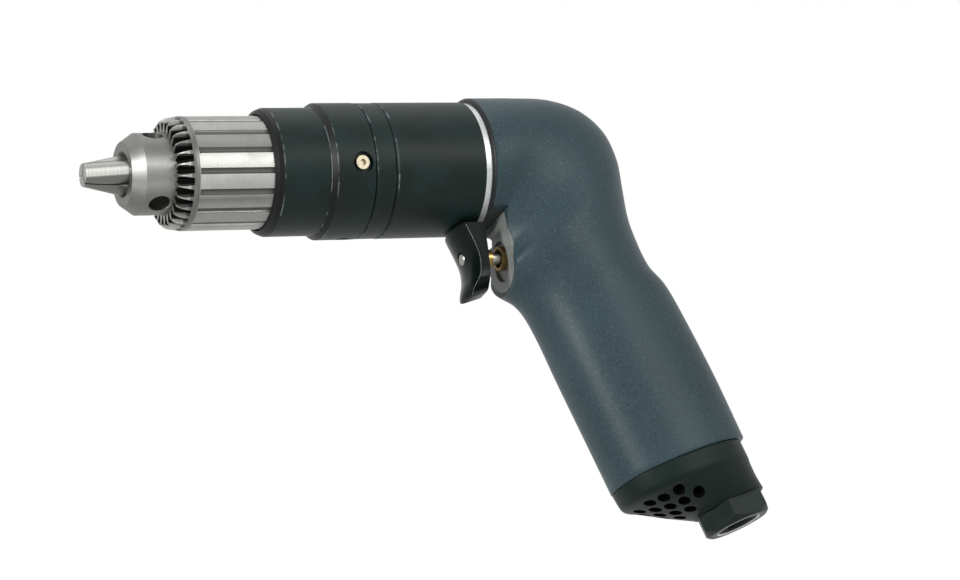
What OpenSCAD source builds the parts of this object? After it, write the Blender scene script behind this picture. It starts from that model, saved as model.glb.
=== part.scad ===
// Pistol-grip air drill with a keyed chuck. Sizes in millimetres.
// X runs along the spindle from the chuck nose to the rear, Z is up, the spindle axis is on X.

/* [Chuck] */
// diameter of the chuck nose
nose_d = 24.7; // [23:0.1:27]
// diameter of the fluted sleeve
sleeve_d = 34.5; // [33:0.1:36]
// diameter of the flat front of the nose
face_d = 19.6; // [19:0.1:20.4]
// length of the taper behind the flat front
nose_taper = 3.7; // [3:0.1:4.5]
// front of the key gear teeth
gear_front = 15.4; // [15.2:0.1:16.5]
// depth of the bevel key gear along the axis
gear_depth = 4.5; // [4:0.1:5]
// number of key gear teeth
key_teeth = 30; // [24:1:36]
// number of sleeve flutes
flute_count = 17; // [12:1:20]
// diameter of the key holes
key_hole_d = 6.4; // [5:0.1:6.5]
// diameter of a jaw
jaw_d = 6.8; // [6:0.1:7]
// angle of the jaws to the axis
jaw_angle = 14; // [13:0.5:15]
// how far the closed jaws stand out of the nose
jaw_out = 12.2; // [10:0.1:14]
// stroke of the jaws along their bores
jaw_stroke = 19.5; // [12:0.5:20]

/* [Barrel] */
// diameter of the motor housing
case_d = 42; // [41:0.1:44]
// diameter of the front cap
front_cap_d = 39.2; // [38.5:0.1:40]
// wall of the motor housing
case_wall = 5.5; // [5:0.1:6]
// length of the front cap that shows
front_cap_len = 17.2; // [16:0.1:19]
// length of the gear housing that shows
gear_case_len = 14.2; // [13:0.1:17]
// width of the lock ring
lock_ring_len = 6.4; // [5:0.1:8]
// length of the motor housing that shows
motor_case_len = 29.8; // [28:0.1:33]
// width of the light ring
light_ring_len = 1.9; // [1.5:0.1:2.5]

/* [Gear] */
// module of the gear teeth
gear_module = 0.6; // [0.56:0.01:0.6]
// width of the planet gears
planet_w = 6; // [4:0.1:6.4]
// diameter of the planet pins
planet_pin_d = 3; // [2.5:0.1:3.4]

/* [Motor] */
// diameter of the rotor
rotor_d = 21.2; // [19:0.1:21.4]
// length of the motor cylinder
cylinder_len = 34; // [30:0.5:34.5]
// offset of the cylinder bore
bore_offset = 1.5; // [0.8:0.1:1.6]
// thickness of a vane
vane_t = 1.5; // [1:0.1:2]

/* [Handle] */
// rake of the grip from upright
rake = 15; // [12:0.5:18]
// depth of the grip, front to back
grip_depth = 46.4; // [45:0.1:50]
// width of the grip
grip_width = 34.4; // [33:0.1:38]
// distance along the grip axis to the base cap
grip_len = 103; // [98:0.5:115]

/* [Trigger] */
// height of the plunger below the spindle axis
plunger_drop = 30.7; // [30:0.1:32]
// diameter of the plunger
plunger_d = 3.8; // [3:0.1:4]
// travel of the trigger
trigger_travel = 5; // [3:0.1:5.2]
// width of the trigger
trigger_w = 16; // [14:0.1:17]
// width of the trigger plate
plate_w = 18; // [16.5:0.1:18.4]

/* [Air inlet] */
// minor diameter of the inlet thread
inlet_bore_d = 11.5; // [11:0.1:12]
// size of the inlet hexagon across flats
hex_af = 20.8; // [20:0.1:22]
// diameter of the exhaust holes
exhaust_d = 3.7; // [3:0.1:4]

/* [Fits] */
// clearance of a turning or sliding fit
run = 0.08; // [0.05:0.01:0.1]
// clearance of a seated fit
seat = 0.03; // [0.02:0.01:0.05]

/* [Hidden] */
$fn = 72;

steel = [0.72, 0.73, 0.75];
black = [0.1, 0.11, 0.11];
brass = [0.75, 0.6, 0.3];
grey = [0.28, 0.32, 0.36];
pale = [0.85, 0.86, 0.87];

// chuck
nose_r = nose_d / 2;
sleeve_r = sleeve_d / 2;
jaw_r = jaw_d / 2;
jaw_tan = tan(jaw_angle);
jaw_slant_r = jaw_r / cos(jaw_angle);
taper_x1 = 6.5;
face_x = taper_x1 - nose_taper;
jaw_tip = face_x - jaw_out;
key_hole_r = key_hole_d / 2;
key_hole_x = 11.6;
nut_x0 = gear_front + 6.1;
nut_x1 = nut_x0 + 5.5;
jaw_tail = nut_x1 + 0.5;
body_end = 52;
sleeve_end = 48;
sleeve_bore_r = sleeve_r - 2.05;
gear_inner_r = nose_r + 0.25;
gear_outer_r = sleeve_r - 0.25;
tooth_depth = 1.9;
tooth_run = [gear_depth + 0.1, gear_outer_r - tooth_depth + 0.2 - gear_inner_r];
jaw_turns = [-12, 108, 228];
spindle_nose_r = 4.7;
function jaw_axis_r(x) = (x - jaw_tip) * jaw_tan;

// barrel positions
cap_x0 = 45;
cap_x1 = cap_x0 + front_cap_len;
gear_x1 = cap_x1 + gear_case_len;
lock_x0 = gear_x1 + 0.2;
lock_x1 = lock_x0 + lock_ring_len;
case_x0 = lock_x1 + 0.2;
case_x1 = case_x0 + motor_case_len;
handle_x0 = case_x1 + light_ring_len;
case_r = case_d / 2;
front_cap_r = front_cap_d / 2;
cap_bore_r = sleeve_r + 0.5;
cap_spigot_r = case_r - 4;
ring_r = case_r - 4.5;
case_spigot_r = case_r - 2.4;
case_bore_r = case_r - case_wall;
tail_r = case_r - 4.1;
tail_len = 9.4;

// gear train
sun_z = 12;
planet_z = 15;
ring_z = 42;
pressure = 25;
backlash = 0.08;
addendum = 0.9 * gear_module;
dedendum = 1.2 * gear_module;
centre = gear_module * (sun_z + planet_z) / 2;
ring_x0 = cap_x1 + 3.3;
ring_x1 = ring_x0 + 7.9;
spigot_x0 = ring_x1 + 0.1;
planet_x0 = ring_x0 + 0.2;
planet_x1 = planet_x0 + planet_w;
pin_r = planet_pin_d / 2;
carrier_r = gear_module * ring_z / 2 - addendum - 0.76;
front_brg_x0 = cap_x0 + 9.5;
front_brg_w = 6;
front_brg_r = cap_spigot_r - 5;
front_shaft_r = front_brg_r - 6;
rear_brg_x0 = spigot_x0 + 1;
rear_brg_w = 5;
rear_brg_r = case_bore_r - 3.5;
hub_r = rear_brg_r - 4.5;
hub_bore_r = gear_module * sun_z / 2 + addendum + 0.4;
plate_x1 = rear_brg_x0 + rear_brg_w + 0.8;

// motor positions
fplate_x0 = plate_x1 + 0.2;
fplate_x1 = fplate_x0 + 6;
cyl_x1 = fplate_x1 + cylinder_len;
rplate_x1 = cyl_x1 + 6;
motor_fit = 0.06;
rotor_r = rotor_d / 2;
cyl_bore_r = rotor_r + bore_offset + 0.2;
shaft_r = rotor_r - 6.6;
brg_od_r = shaft_r + 4;
brg_w = 5;
slot_depth = rotor_r - 5;

// handle frame: u runs down the grip axis, v runs to the rear
handle_r = case_r + 1.2;
grip_x = handle_x0 + 35.1;
grip_front = -11.8 - grip_depth / 2;
grip_back = -11.8 + grip_depth / 2;
inlet_v = -1.1;
cap_u1 = grip_len + 16.5;
collar_r = 11.9;
mouth_u = cap_u1 + 7;
slant = 27.6;
slant_u = grip_len + 8;
slant_v = -28.8;
exhaust_step = 6.05;
function gp(v, u) = [grip_x + u * sin(rake) + v * cos(rake), v * sin(rake) - u * cos(rake)];

// trigger and valve
flat_x = handle_x0 + 5.7;
plate_x = flat_x - 0.1;
plate_t = 1.9;
notch_x = plate_x + plate_t + seat;
notch_w = plate_w + 0.4;
notch_low = -32.7;
relief_r = 1.9;
notch_top = -(tail_r + 1.5);
plunger_r = plunger_d / 2;
valve_r = 5.9;
valve_x0 = plate_x - 0.8;
valve_x1 = notch_x + 7.6;
disc_t = 2.4;
spring_x1 = valve_x1 + trigger_travel + 10;
trig_x = case_x1 - 5.9;
crown_r = 15;
collar_x0 = trig_x + 8;

// helpers
module turn(p) rotate([0, 90, 0]) rotate_extrude($fn = 96) polygon(p);
module rod(x0, x1, r) translate([x0, 0, 0]) rotate([0, 90, 0]) cylinder(h = x1 - x0, r = r);
module ring(x0, x1, ro, ri) difference() {
  rod(x0, x1, ro);
  rod(x0 - 1, x1 + 1, ri);
}
module around(t) rotate([-t, 0, 0]) children();
module grip(v, u) translate([grip_x, 0, 0]) rotate([0, 180 - rake, 0]) translate([-v, 0, u]) children();

// bearing pieces
module bearing_outer(x0, w, ri, ro) {
  ball = (ro - ri) * 0.28;
  mid = (ro + ri) / 2;
  difference() {
    ring(x0, x0 + w, ro - seat, mid + ball * 0.55);
    translate([x0 + w / 2, 0, 0]) rotate([0, 90, 0]) rotate_extrude() translate([mid, 0])
      circle(r = ball + run);
  }
}
module bearing_inner(x0, w, ri, ro) {
  ball = (ro - ri) * 0.28;
  mid = (ro + ri) / 2;
  difference() {
    ring(x0, x0 + w, mid - ball * 0.55, ri + seat);
    translate([x0 + w / 2, 0, 0]) rotate([0, 90, 0]) rotate_extrude() translate([mid, 0])
      circle(r = ball + run);
  }
}
module bearing_balls(x0, w, ri, ro, n) {
  ball = (ro - ri) * 0.28;
  mid = (ro + ri) / 2;
  for (k = [0 : n - 1]) around(k * 360 / n) translate([x0 + w / 2, -mid, 0]) sphere(r = ball, $fn = 24);
}

// involute tooth outline
function inv_angle(rb, r) = r <= rb ? 0 : sqrt(r * r / (rb * rb) - 1) * 180 / PI - acos(rb / r);
function half_tooth(z, r, extra) = 90 / z + extra / (gear_module * z) * 180 / PI
  + inv_angle(gear_module * z / 2 * cos(pressure), gear_module * z / 2)
  - inv_angle(gear_module * z / 2 * cos(pressure), r);
function gear_points(z, add, ded, extra) = let (rp = gear_module * z / 2, r0 = rp - ded, r1 = rp + add)
  [for (k = [0 : z - 1], s = [-1, 1], i = [0 : 4])
    let (q = s < 0 ? i / 4 : 1 - i / 4, r = r0 + (r1 - r0) * q,
      a = k * 360 / z + s * half_tooth(z, max(r, rp * cos(pressure)), extra))
    [r * cos(a), r * sin(a)]];
module gear(z, x0, x1, turn0) translate([x0, 0, 0]) rotate([0, 90, 0]) rotate([0, 0, turn0])
  linear_extrude(x1 - x0) polygon(gear_points(z, addendum, dedendum, -backlash));
function planet_turn(a) = a + 180 + a * sun_z / planet_z + 180 / planet_z;

// lofted skins
function se(c, e) = sign(c) * pow(abs(c), 2 / e);
function cr(a, b, c, d, t) = 0.5 * (2 * b + (c - a) * t + (2 * a - 5 * b + 4 * c - d) * t * t
  + (3 * b - a - 3 * c + d) * t * t * t);
function smooth(rows, n) = let (m = len(rows) - 1) concat(
  [for (i = [0 : m - 1], k = [0 : n - 1])
    cr(rows[max(i - 1, 0)], rows[i], rows[i + 1], rows[min(i + 2, m)], k / n)], [rows[m]]);
function loft_ring(q, n) = let (fx = q[0], fz = q[1], bx = q[2], bz = q[3], w = q[4], e = q[5], g = q[6])
  [for (k = [0 : n - 1]) let (c = se(cos(k * 360 / n), e), s = se(sin(k * 360 / n), e))
    [(fx + bx) / 2 + (bx - fx) / 2 * c, w * s * (1 - g * (1 - c) / 2), (fz + bz) / 2 + (bz - fz) / 2 * c]];
module loft(rows, n) {
  m = len(rows);
  pts = [for (q = rows) each loft_ring(q, n)];
  faces = concat([[for (k = [0 : n - 1]) k]], [[for (k = [0 : n - 1]) (m - 1) * n + n - 1 - k]],
    [for (i = [0 : m - 2], k = [0 : n - 1]) [i * n + k, (i + 1) * n + k, i * n + (k + 1) % n]],
    [for (i = [0 : m - 2], k = [0 : n - 1])
      [(i + 1) * n + k, (i + 1) * n + (k + 1) % n, i * n + (k + 1) % n]]);
  polyhedron(points = pts, faces = faces, convexity = 6);
}

// stations of the handle skin: front point, back point, half width, squareness, narrowing of the front
function grip_row(u, dv0, dv1, w, e) = let (a = gp(grip_front + dv0, u), b = gp(grip_back + dv1, u))
  [a[0], a[1], b[0], b[1], w, e, 0];
function bend_row(fx, fz, bx, bz, w, g) = [handle_x0 + fx, fz - handle_r, handle_x0 + bx,
  bz + handle_r, w, 2, g];
handle_rows = concat(
  [bend_row(0, 1.2, 0, -1.2, handle_r - 1.2, 0), bend_row(1, 0, 1, 0, handle_r, 0)],
  smooth([
    bend_row(1.2, 0, 6, 0, handle_r, 0),
    bend_row(1.8, -0.5, 17, 0, handle_r, 0.04),
    bend_row(2.5, -2.2, 30, -0.6, handle_r, 0.14),
    bend_row(2.9, -5.8, 41, -4.4, handle_r - 0.2, 0.22),
    bend_row(2.9, -9.8, 48.5, -12, handle_r - 0.7, 0.25),
    bend_row(1.9, -13.6, 51.4, -22, handle_r - 1.4, 0.2),
    bend_row(1, -16.8, 51.2, -32.5, handle_r - 2.2, 0.12),
    bend_row(4, -19.6, 50.8, -42.5, handle_r - 3, 0.1),
    bend_row(8, -21.9, 52, -51.5, handle_r - 3.7, 0.08),
    bend_row(11, -26, 54.4, -60, handle_r - 4.3, 0.04),
    grip_row(grip_len * 0.48, 0, 0, grip_width / 2, 2.1),
    grip_row(grip_len * 0.62, 0, 0.6, grip_width / 2, 2.2),
    grip_row(grip_len * 0.8, 0, 0.9, grip_width / 2, 2.2),
    grip_row(grip_len, 0, 0.3, grip_width / 2, 2.2)], 3));

// stations of the base cap skin
cap_rows = [
  grip_row(grip_len + 0.1, 0.3, -1.4, grip_width / 2 - 0.3, 2.2),
  grip_row(grip_len + 3.6, 0.6, -1.4, grip_width / 2 - 0.4, 2.2),
  grip_row(grip_len + 5.4, 1.1, -1.4, grip_width / 2 - 0.5, 2.2),
  grip_row(grip_len + 6.6, 2.6, -1.4, grip_width / 2 - 0.9, 2.2),
  grip_row(grip_len + 8, 5.6, -1.4, grip_width / 2 - 1.7, 2.15),
  grip_row(grip_len + 12, 13.2, -1.3, grip_width / 2 - 3.4, 2.1),
  concat(gp(inlet_v - collar_r, cap_u1), gp(inlet_v + collar_r, cap_u1), [collar_r, 2, 0])];

// chuck
module jaw_place(t) rotate([-t, 0, 0]) translate([jaw_tip, 0, 0]) rotate([0, 0, -jaw_angle])
  rotate([0, 90, 0]) children();
module jaw(t) {
  gap = 0.25;
  tail = (jaw_tail - jaw_tip) / cos(jaw_angle);
  reach = jaw_stroke;
  intersection() {
    jaw_place(t) cylinder(h = tail, r = jaw_r);
    rod(jaw_tip, jaw_tail + 2, 40);
    // wedge that leaves a third of the circle to each jaw
    rotate([-t, 0, 0]) translate([jaw_tip - 1, -gap, 0]) linear_extrude_wedge();
    // tail turned down so that it clears the sleeve when the jaws are open
    rotate([-t, 0, 0]) translate([-reach * cos(jaw_angle), reach * sin(jaw_angle), 0])
      rod(-20, 80, sleeve_bore_r - 0.15);
  }
}
module linear_extrude_wedge() rotate([0, 90, 0]) linear_extrude(60)
  polygon([[0, 0], [40 * sqrt(3), -40], [-40 * sqrt(3), -40]]);

module chuck_body() color(steel) difference() {
  turn([[0, face_x], [face_d / 2, face_x], [nose_r, taper_x1], [nose_r, nut_x0 - 0.4],
    [nose_r - 2.15, nut_x0 - 0.4],
    [nose_r - 2.15, nut_x1 + 0.4], [sleeve_bore_r - run, nut_x1 + 0.4], [sleeve_bore_r - run, 45],
    [12, 46.5], [12, body_end], [0, body_end]]);
  rod(face_x - 1, 30, 4.9);
  turn([[0, face_x - 0.1], [7.1, face_x - 0.1], [5.6, face_x + 1.4], [0, face_x + 1.4]]);
  rod(34, body_end + 1, spindle_nose_r + seat);
  for (t = jaw_turns) jaw_place(t) translate([0, 0, -4]) cylinder(h = 66, r = jaw_r + run);
  for (t = jaw_turns) around(t + 60) translate([key_hole_x, 0, 0]) rotate([90, 0, 0]) {
    translate([0, 0, nose_r - 5]) cylinder(h = 10, r = key_hole_r);
    translate([0, 0, nose_r - 0.35]) cylinder(h = 1.2, r1 = key_hole_r, r2 = key_hole_r + 1.2);
  }
}

module chuck_sleeve() color(steel) difference() {
  turn([[nose_r + run, gear_front], [sleeve_r - 2, gear_front], [sleeve_r - 1.1, gear_front + 0.6],
    [sleeve_r - 0.5, gear_front + 1.7], [gear_outer_r, gear_front + gear_depth - 0.6],
    [sleeve_r, gear_front + gear_depth + 0.6], [sleeve_r, sleeve_end - 0.4],
    [sleeve_r - 0.4, sleeve_end], [sleeve_bore_r, sleeve_end], [sleeve_bore_r, nut_x0 - 0.2],
    [nose_r + run, nut_x0 - 0.2]]);
  for (k = [0 : flute_count - 1]) around(k * 360 / flute_count - 23.2)
    translate([gear_front + gear_depth + 1.7, -sleeve_r - 0.15, 0])
      rotate([0, 90, 0]) cylinder(h = 40, r = 0.95, $fn = 24);
  // gaps between the bevel teeth
  for (k = [0 : key_teeth - 1]) around(k * 360 / key_teeth + 2.5)
    translate([gear_front + 0.8, -gear_inner_r, 0])
      rotate([0, 0, -atan2(tooth_run[1], tooth_run[0])]) translate([-1, 0, 0]) rotate([0, 90, 0])
        linear_extrude(1 + norm(tooth_run))
          polygon([[-0.3, 0], [0.3, 0], [2.25, -5], [-2.25, -5]]);
}

module chuck_nut() color(steel) turn([
  [jaw_axis_r(nut_x0) + jaw_slant_r + run, nut_x0], [sleeve_bore_r - seat / 3, nut_x0],
  [sleeve_bore_r - seat / 3, nut_x1], [jaw_axis_r(nut_x1) + jaw_slant_r + run, nut_x1]]);

module chuck_jaw_1() color(steel) jaw(jaw_turns[0]);
module chuck_jaw_2() color(steel) jaw(jaw_turns[1]);
module chuck_jaw_3() color(steel) jaw(jaw_turns[2]);

// barrel
module front_cap() color(black) turn([
  [cap_bore_r, cap_x0], [front_cap_r - 0.6, cap_x0 + 0.9], [front_cap_r, cap_x0 + 2.4],
  [front_cap_r, cap_x1],
  [cap_spigot_r, cap_x1], [cap_spigot_r, ring_x0 - 0.3], [front_brg_r + 1.2, ring_x0 - 0.3],
  [front_brg_r + 1.2, front_brg_x0 + front_brg_w], [front_brg_r, front_brg_x0 + front_brg_w],
  [front_brg_r, front_brg_x0], [front_shaft_r + 2, front_brg_x0], [front_shaft_r + 2, cap_x0 + 8],
  [cap_bore_r, cap_x0 + 8]]);

module gear_housing() color(black) difference() {
  turn([[cap_spigot_r + seat, cap_x1 + 0.05], [front_cap_r, cap_x1 + 0.05], [case_r, cap_x1 + 1.8],
    [case_r, gear_x1 - 0.35], [case_r - 0.35, gear_x1], [case_spigot_r + seat, gear_x1],
    [case_spigot_r + seat, spigot_x0 - 0.1], [ring_r + seat, spigot_x0 - 0.1],
    [ring_r + seat, ring_x0 - 0.1], [cap_spigot_r - 0.8, ring_x0 - 0.1],
    [cap_spigot_r - 0.8, ring_x0 - 0.2], [cap_spigot_r + seat, ring_x0 - 0.2]]);
  around(-18) nipple_bore(run);
  for (t = [-108, 72, 162]) around(t) translate([nipple_x, -case_r + 2.2, 0]) rotate([90, 0, 0])
    cylinder(h = 5, r = 2.1);
}
nipple_x = cap_x1 + 9.8;
module nipple_bore(c) {
  translate([nipple_x, -case_r + 1.4, 0]) rotate([90, 0, 0]) cylinder(h = 4, r = 3.3);
  translate([nipple_x, -ring_r + 1, 0]) rotate([90, 0, 0]) cylinder(h = 8, r = 1.3 + c);
}
module grease_nipple() color(brass) around(-18) difference() {
  union() {
    translate([nipple_x, -ring_r - 0.4, 0]) rotate([90, 0, 0])
      cylinder(h = case_r - ring_r - 1.4, r = 1.3);
    translate([nipple_x, -case_r + 1.35, 0]) rotate([90, 0, 0]) cylinder(h = 1.1, r = 2.1);
  }
  translate([nipple_x, -case_r + 1.2, 0]) rotate([90, 0, 0]) cylinder(h = 2, r = 1);
}

module lock_ring() color(black) turn([
  [case_spigot_r + seat, lock_x0], [case_r - 0.4, lock_x0], [case_r - 0.1, lock_x0 + 0.3],
  [case_r - 0.1, lock_x1 - 0.3], [case_r - 0.4, lock_x1], [case_spigot_r + seat, lock_x1]]);

module motor_housing() color(black) turn([
  [case_bore_r, spigot_x0], [case_spigot_r, spigot_x0], [case_spigot_r, case_x0], [case_r - 0.6, case_x0],
  [case_r, case_x0 + 0.7], [case_r, case_x1 - 0.3], [case_r - 0.3, case_x1], [tail_r, case_x1],
  [tail_r, handle_x0 + tail_len], [case_bore_r, handle_x0 + tail_len]]);

module light_ring() color(pale) ring(case_x1 + 0.02, handle_x0 - 0.02, case_r - 0.35, tail_r + seat);

// gear train
module spindle() color(steel) difference() {
  turn([[0, 35], [spindle_nose_r, 35], [spindle_nose_r, body_end + 0.05],
    [front_shaft_r + 1, body_end + 0.05], [front_shaft_r + 1, front_brg_x0], [front_shaft_r, front_brg_x0],
    [front_shaft_r, front_brg_x0 + front_brg_w], [front_shaft_r + 1, front_brg_x0 + front_brg_w + 0.1],
    [carrier_r, front_brg_x0 + front_brg_w + 0.6],
    [carrier_r, planet_x0 - 0.15], [0, planet_x0 - 0.15]]);
  pins(0.01, planet_x0 - 3, planet_x0 + 5);
}
module pins(c, x0, x1) for (a = [0, 120, 240]) rotate([a, 0, 0]) translate([0, 0, -centre])
  rod(x0, x1, pin_r + c);
module planet_pins() color(steel) pins(0, planet_x0 - 2.9, planet_x1 + 2.3);
module carrier_ring() color(steel) difference() {
  turn([[hub_bore_r, planet_x1 + 0.15], [carrier_r, planet_x1 + 0.15], [carrier_r, rear_brg_x0 - 0.1],
    [hub_r, rear_brg_x0 - 0.1], [hub_r, rear_brg_x0 + rear_brg_w], [hub_bore_r, rear_brg_x0 + rear_brg_w]]);
  pins(0.01, planet_x1 - 1, planet_x1 + 2.4);
}
module planet(a) color(steel) rotate([a, 0, 0]) translate([0, 0, -centre]) difference() {
  gear(planet_z, planet_x0, planet_x1, planet_turn(a) - a);
  rod(planet_x0 - 1, planet_x1 + 1, pin_r + run);
}
module planet_gear_1() planet(0);
module planet_gear_2() planet(120);
module planet_gear_3() planet(240);
module ring_gear() color(steel) difference() {
  rod(ring_x0, ring_x1, ring_r);
  translate([ring_x0 - 1, 0, 0]) rotate([0, 90, 0]) linear_extrude(ring_x1 - ring_x0 + 2)
    polygon(gear_points(ring_z, dedendum, addendum, backlash));
}

module spindle_front_outer() color(steel) bearing_outer(front_brg_x0, front_brg_w, front_shaft_r,
  front_brg_r);
module spindle_front_inner() color(steel) bearing_inner(front_brg_x0, front_brg_w, front_shaft_r,
  front_brg_r);
module spindle_front_balls() color(steel) bearing_balls(front_brg_x0, front_brg_w, front_shaft_r,
  front_brg_r, 8);
module spindle_rear_outer() color(steel) bearing_outer(rear_brg_x0, rear_brg_w, hub_r, rear_brg_r);
module spindle_rear_inner() color(steel) bearing_inner(rear_brg_x0, rear_brg_w, hub_r, rear_brg_r);
module spindle_rear_balls() color(steel) bearing_balls(rear_brg_x0, rear_brg_w, hub_r, rear_brg_r, 10);
module bearing_plate() color(steel) turn([
  [rear_brg_r, rear_brg_x0], [case_bore_r - motor_fit, rear_brg_x0], [case_bore_r - motor_fit, plate_x1],
  [rear_brg_r - 2.4, plate_x1], [rear_brg_r - 2.4, rear_brg_x0 + rear_brg_w + 0.02],
  [rear_brg_r, rear_brg_x0 + rear_brg_w + 0.02]]);

// air motor
module front_end_plate() color(steel) turn([
  [brg_od_r, fplate_x0], [case_bore_r - motor_fit, fplate_x0], [case_bore_r - motor_fit, fplate_x1],
  [shaft_r + 0.4, fplate_x1], [shaft_r + 0.4, fplate_x0 + brg_w + 0.02],
  [brg_od_r, fplate_x0 + brg_w + 0.02]]);
module rear_end_plate() color(steel) turn([
  [shaft_r + 0.4, cyl_x1 + 0.02], [case_bore_r - motor_fit, cyl_x1 + 0.02], [case_bore_r - motor_fit,
    rplate_x1],
  [brg_od_r, rplate_x1], [brg_od_r, cyl_x1 + 1], [shaft_r + 0.4, cyl_x1 + 1]]);
module motor_cylinder() color(steel) difference() {
  rod(fplate_x1 + 0.02, cyl_x1, case_bore_r - motor_fit);
  translate([0, 0, -bore_offset]) rod(fplate_x1 - 1, cyl_x1 + 1, cyl_bore_r);
}
module slots(c, x0, x1) for (k = [0 : 4]) rotate([k * 72, 0, 0])
  translate([x0, -vane_t / 2 - c, rotor_r - slot_depth - c]) cube([x1 - x0, vane_t + 2 * c,
    slot_depth + 3]);
module rotor() color(steel) difference() {
  union() {
    rod(fplate_x1 + 0.15, cyl_x1 - 0.13, rotor_r);
    rod(fplate_x0 - 0.4, fplate_x1 + 0.2, shaft_r);
    rod(cyl_x1 - 0.2, rplate_x1, shaft_r);
    gear(sun_z, planet_x0, fplate_x0 - 0.05, 0);
  }
  slots(0.06, fplate_x1, cyl_x1);
}
module vane(k) color([0.45, 0.33, 0.2]) rotate([k * 72, 0, 0])
  translate([fplate_x1 + 0.25, -vane_t / 2, rotor_r - slot_depth]) cube([cylinder_len - 0.5, vane_t,
    slot_depth - 0.35]);
module vane_1() vane(0);
module vane_2() vane(1);
module vane_3() vane(2);
module vane_4() vane(3);
module vane_5() vane(4);
module rotor_front_outer() color(steel) bearing_outer(fplate_x0, brg_w, shaft_r, brg_od_r);
module rotor_front_inner() color(steel) bearing_inner(fplate_x0, brg_w, shaft_r, brg_od_r);
module rotor_front_balls() color(steel) bearing_balls(fplate_x0, brg_w, shaft_r, brg_od_r, 8);
module rotor_rear_outer() color(steel) bearing_outer(rplate_x1 - brg_w, brg_w, shaft_r, brg_od_r);
module rotor_rear_inner() color(steel) bearing_inner(rplate_x1 - brg_w, brg_w, shaft_r, brg_od_r);
module rotor_rear_balls() color(steel) bearing_balls(rplate_x1 - brg_w, brg_w, shaft_r, brg_od_r, 8);

// handle
module notch() {
  translate([handle_x0 - 10, -notch_w / 2, notch_low])
    cube([notch_x - handle_x0 + 10, notch_w, notch_top - notch_low]);
  translate([0, 0, notch_low]) rod(handle_x0 - 10, notch_x, notch_w / 2);
}
// groove in the far shoulder, open to the front, through which light shows beside the trigger
module far_relief() translate([plate_x + 0.1, 7, -22.5]) rotate([0, 0, 63.4]) rotate([0, 69.1, 0]) {
  translate([0, 0, -3.6]) cylinder(h = 30, r = relief_r);
  translate([-relief_r, 0, -3.6]) cube([2 * relief_r, 20, 30]);
}
module handle() color(grey) difference() {
  loft(handle_rows, 40);
  rod(handle_x0 - 1, handle_x0 + tail_len + 0.2, tail_r + seat);
  rod(handle_x0, rplate_x1 + 0.1, case_bore_r);
  rod(handle_x0, rplate_x1 + 4, 9);
  notch();
  far_relief();
  translate([handle_x0 - 10, -40, -80]) cube([flat_x - handle_x0 + 10, 80, 80 + notch_top]);
  translate([0, 0, -plunger_drop]) rod(notch_x - 1, spring_x1, valve_r + seat);
  // inlet: seat of the bushing and the way up to the valve
  grip(inlet_v, grip_len - 10) cylinder(h = 20, r = 9 + seat);
  passage(gp(inlet_v, grip_len - 6), [valve_x1 + 8, -plunger_drop - 1], 4.5, 0);
  // exhaust: two side ways and the silencer chamber
  for (s = [-1, 1]) passage(gp(-22, grip_len - 32), [rplate_x1 - 1, -9], 2.8, s * 9.8);
  grip(-23.3, grip_len - 36) cylinder(h = 40, r = 9);
}
module passage(a, b, r, y) {
  d = b - a;
  translate([a[0], y, a[1]]) rotate([0, atan2(d[0], d[1]), 0]) cylinder(h = norm(d), r = r);
}
module silencer() color([0.6, 0.58, 0.5]) grip(-23.3, grip_len - 30) difference() {
  cylinder(h = 31, r = 8.7);
  translate([0, 0, -1]) cylinder(h = 40, r = 3);
}

// trigger and valve
module trigger_plate() color(black) difference() {
  union() {
    translate([plate_x, -plate_w / 2, notch_low]) cube([plate_t, plate_w, notch_top - 0.3 - notch_low]);
    translate([0, 0, notch_low]) rod(plate_x, plate_x + plate_t, plate_w / 2);
  }
  translate([0, 0, -plunger_drop]) rod(plate_x - 1, plate_x + 4, 3.8 + seat);
  translate([0, 0, -plunger_drop - 2.6]) rod(plate_x - 1, plate_x + 0.9, 5);
  translate([plate_x - 1, -5, -plunger_drop - 2.6]) cube([1.9, 10, 3]);
  translate([0, 0, -plunger_drop + 0.4]) rod(plate_x - 1, plate_x + 0.9, 5);
  far_relief();
}
module valve_body() color(brass) translate([0, 0, -plunger_drop]) difference() {
  turn([[plunger_r + run, valve_x0], [3.8, valve_x0], [3.8, notch_x], [valve_r, notch_x],
    [valve_r, valve_x1], [plunger_r + run, valve_x1]]);
  rod(valve_x0 - 1, plate_x + 1.7, plunger_r + 1);
  for (k = [0 : 3]) rotate([k * 90 + 45, 0, 0]) translate([notch_x + 3.8, 0, 0]) cylinder(h = 10, r = 1.2);
}
module valve_disc() color(black) translate([0, 0, -plunger_drop])
  turn([[0, valve_x1 + 0.05], [4.6, valve_x1 + 0.05], [4.6, valve_x1 + disc_t], [2.4, valve_x1 + disc_t],
    [2.4, valve_x1 + disc_t + 2], [0, valve_x1 + disc_t + 2]]);
spring_wire = 0.4;
spring_r = 3.4;
spring_turns = 5.5;
spring_x0 = valve_x1 + disc_t + spring_wire + 0.05;
spring_len = spring_x1 - spring_wire - 0.05 - spring_x0;
module valve_spring() color(steel) translate([0, 0, -plunger_drop]) {
  n = 66;
  s = 6;
  pts = [for (i = [0 : n], k = [0 : s - 1]) let (t = i / n, a = t * spring_turns * 360, q = k * 360 / s,
    r = spring_r + spring_wire * cos(q)) [spring_x0 + t * spring_len + spring_wire * sin(q),
      r * cos(a), r * sin(a)]];
  faces = concat([[for (k = [0 : s - 1]) s - 1 - k]], [[for (k = [0 : s - 1]) n * s + k]],
    [for (i = [0 : n - 1], k = [0 : s - 1]) [i * s + k, i * s + (k + 1) % s, (i + 1) * s + k]],
    [for (i = [0 : n - 1], k = [0 : s - 1])
      [(i + 1) * s + k, i * s + (k + 1) % s, (i + 1) * s + (k + 1) % s]]);
  polyhedron(points = pts, faces = faces, convexity = 8);
}

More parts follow.
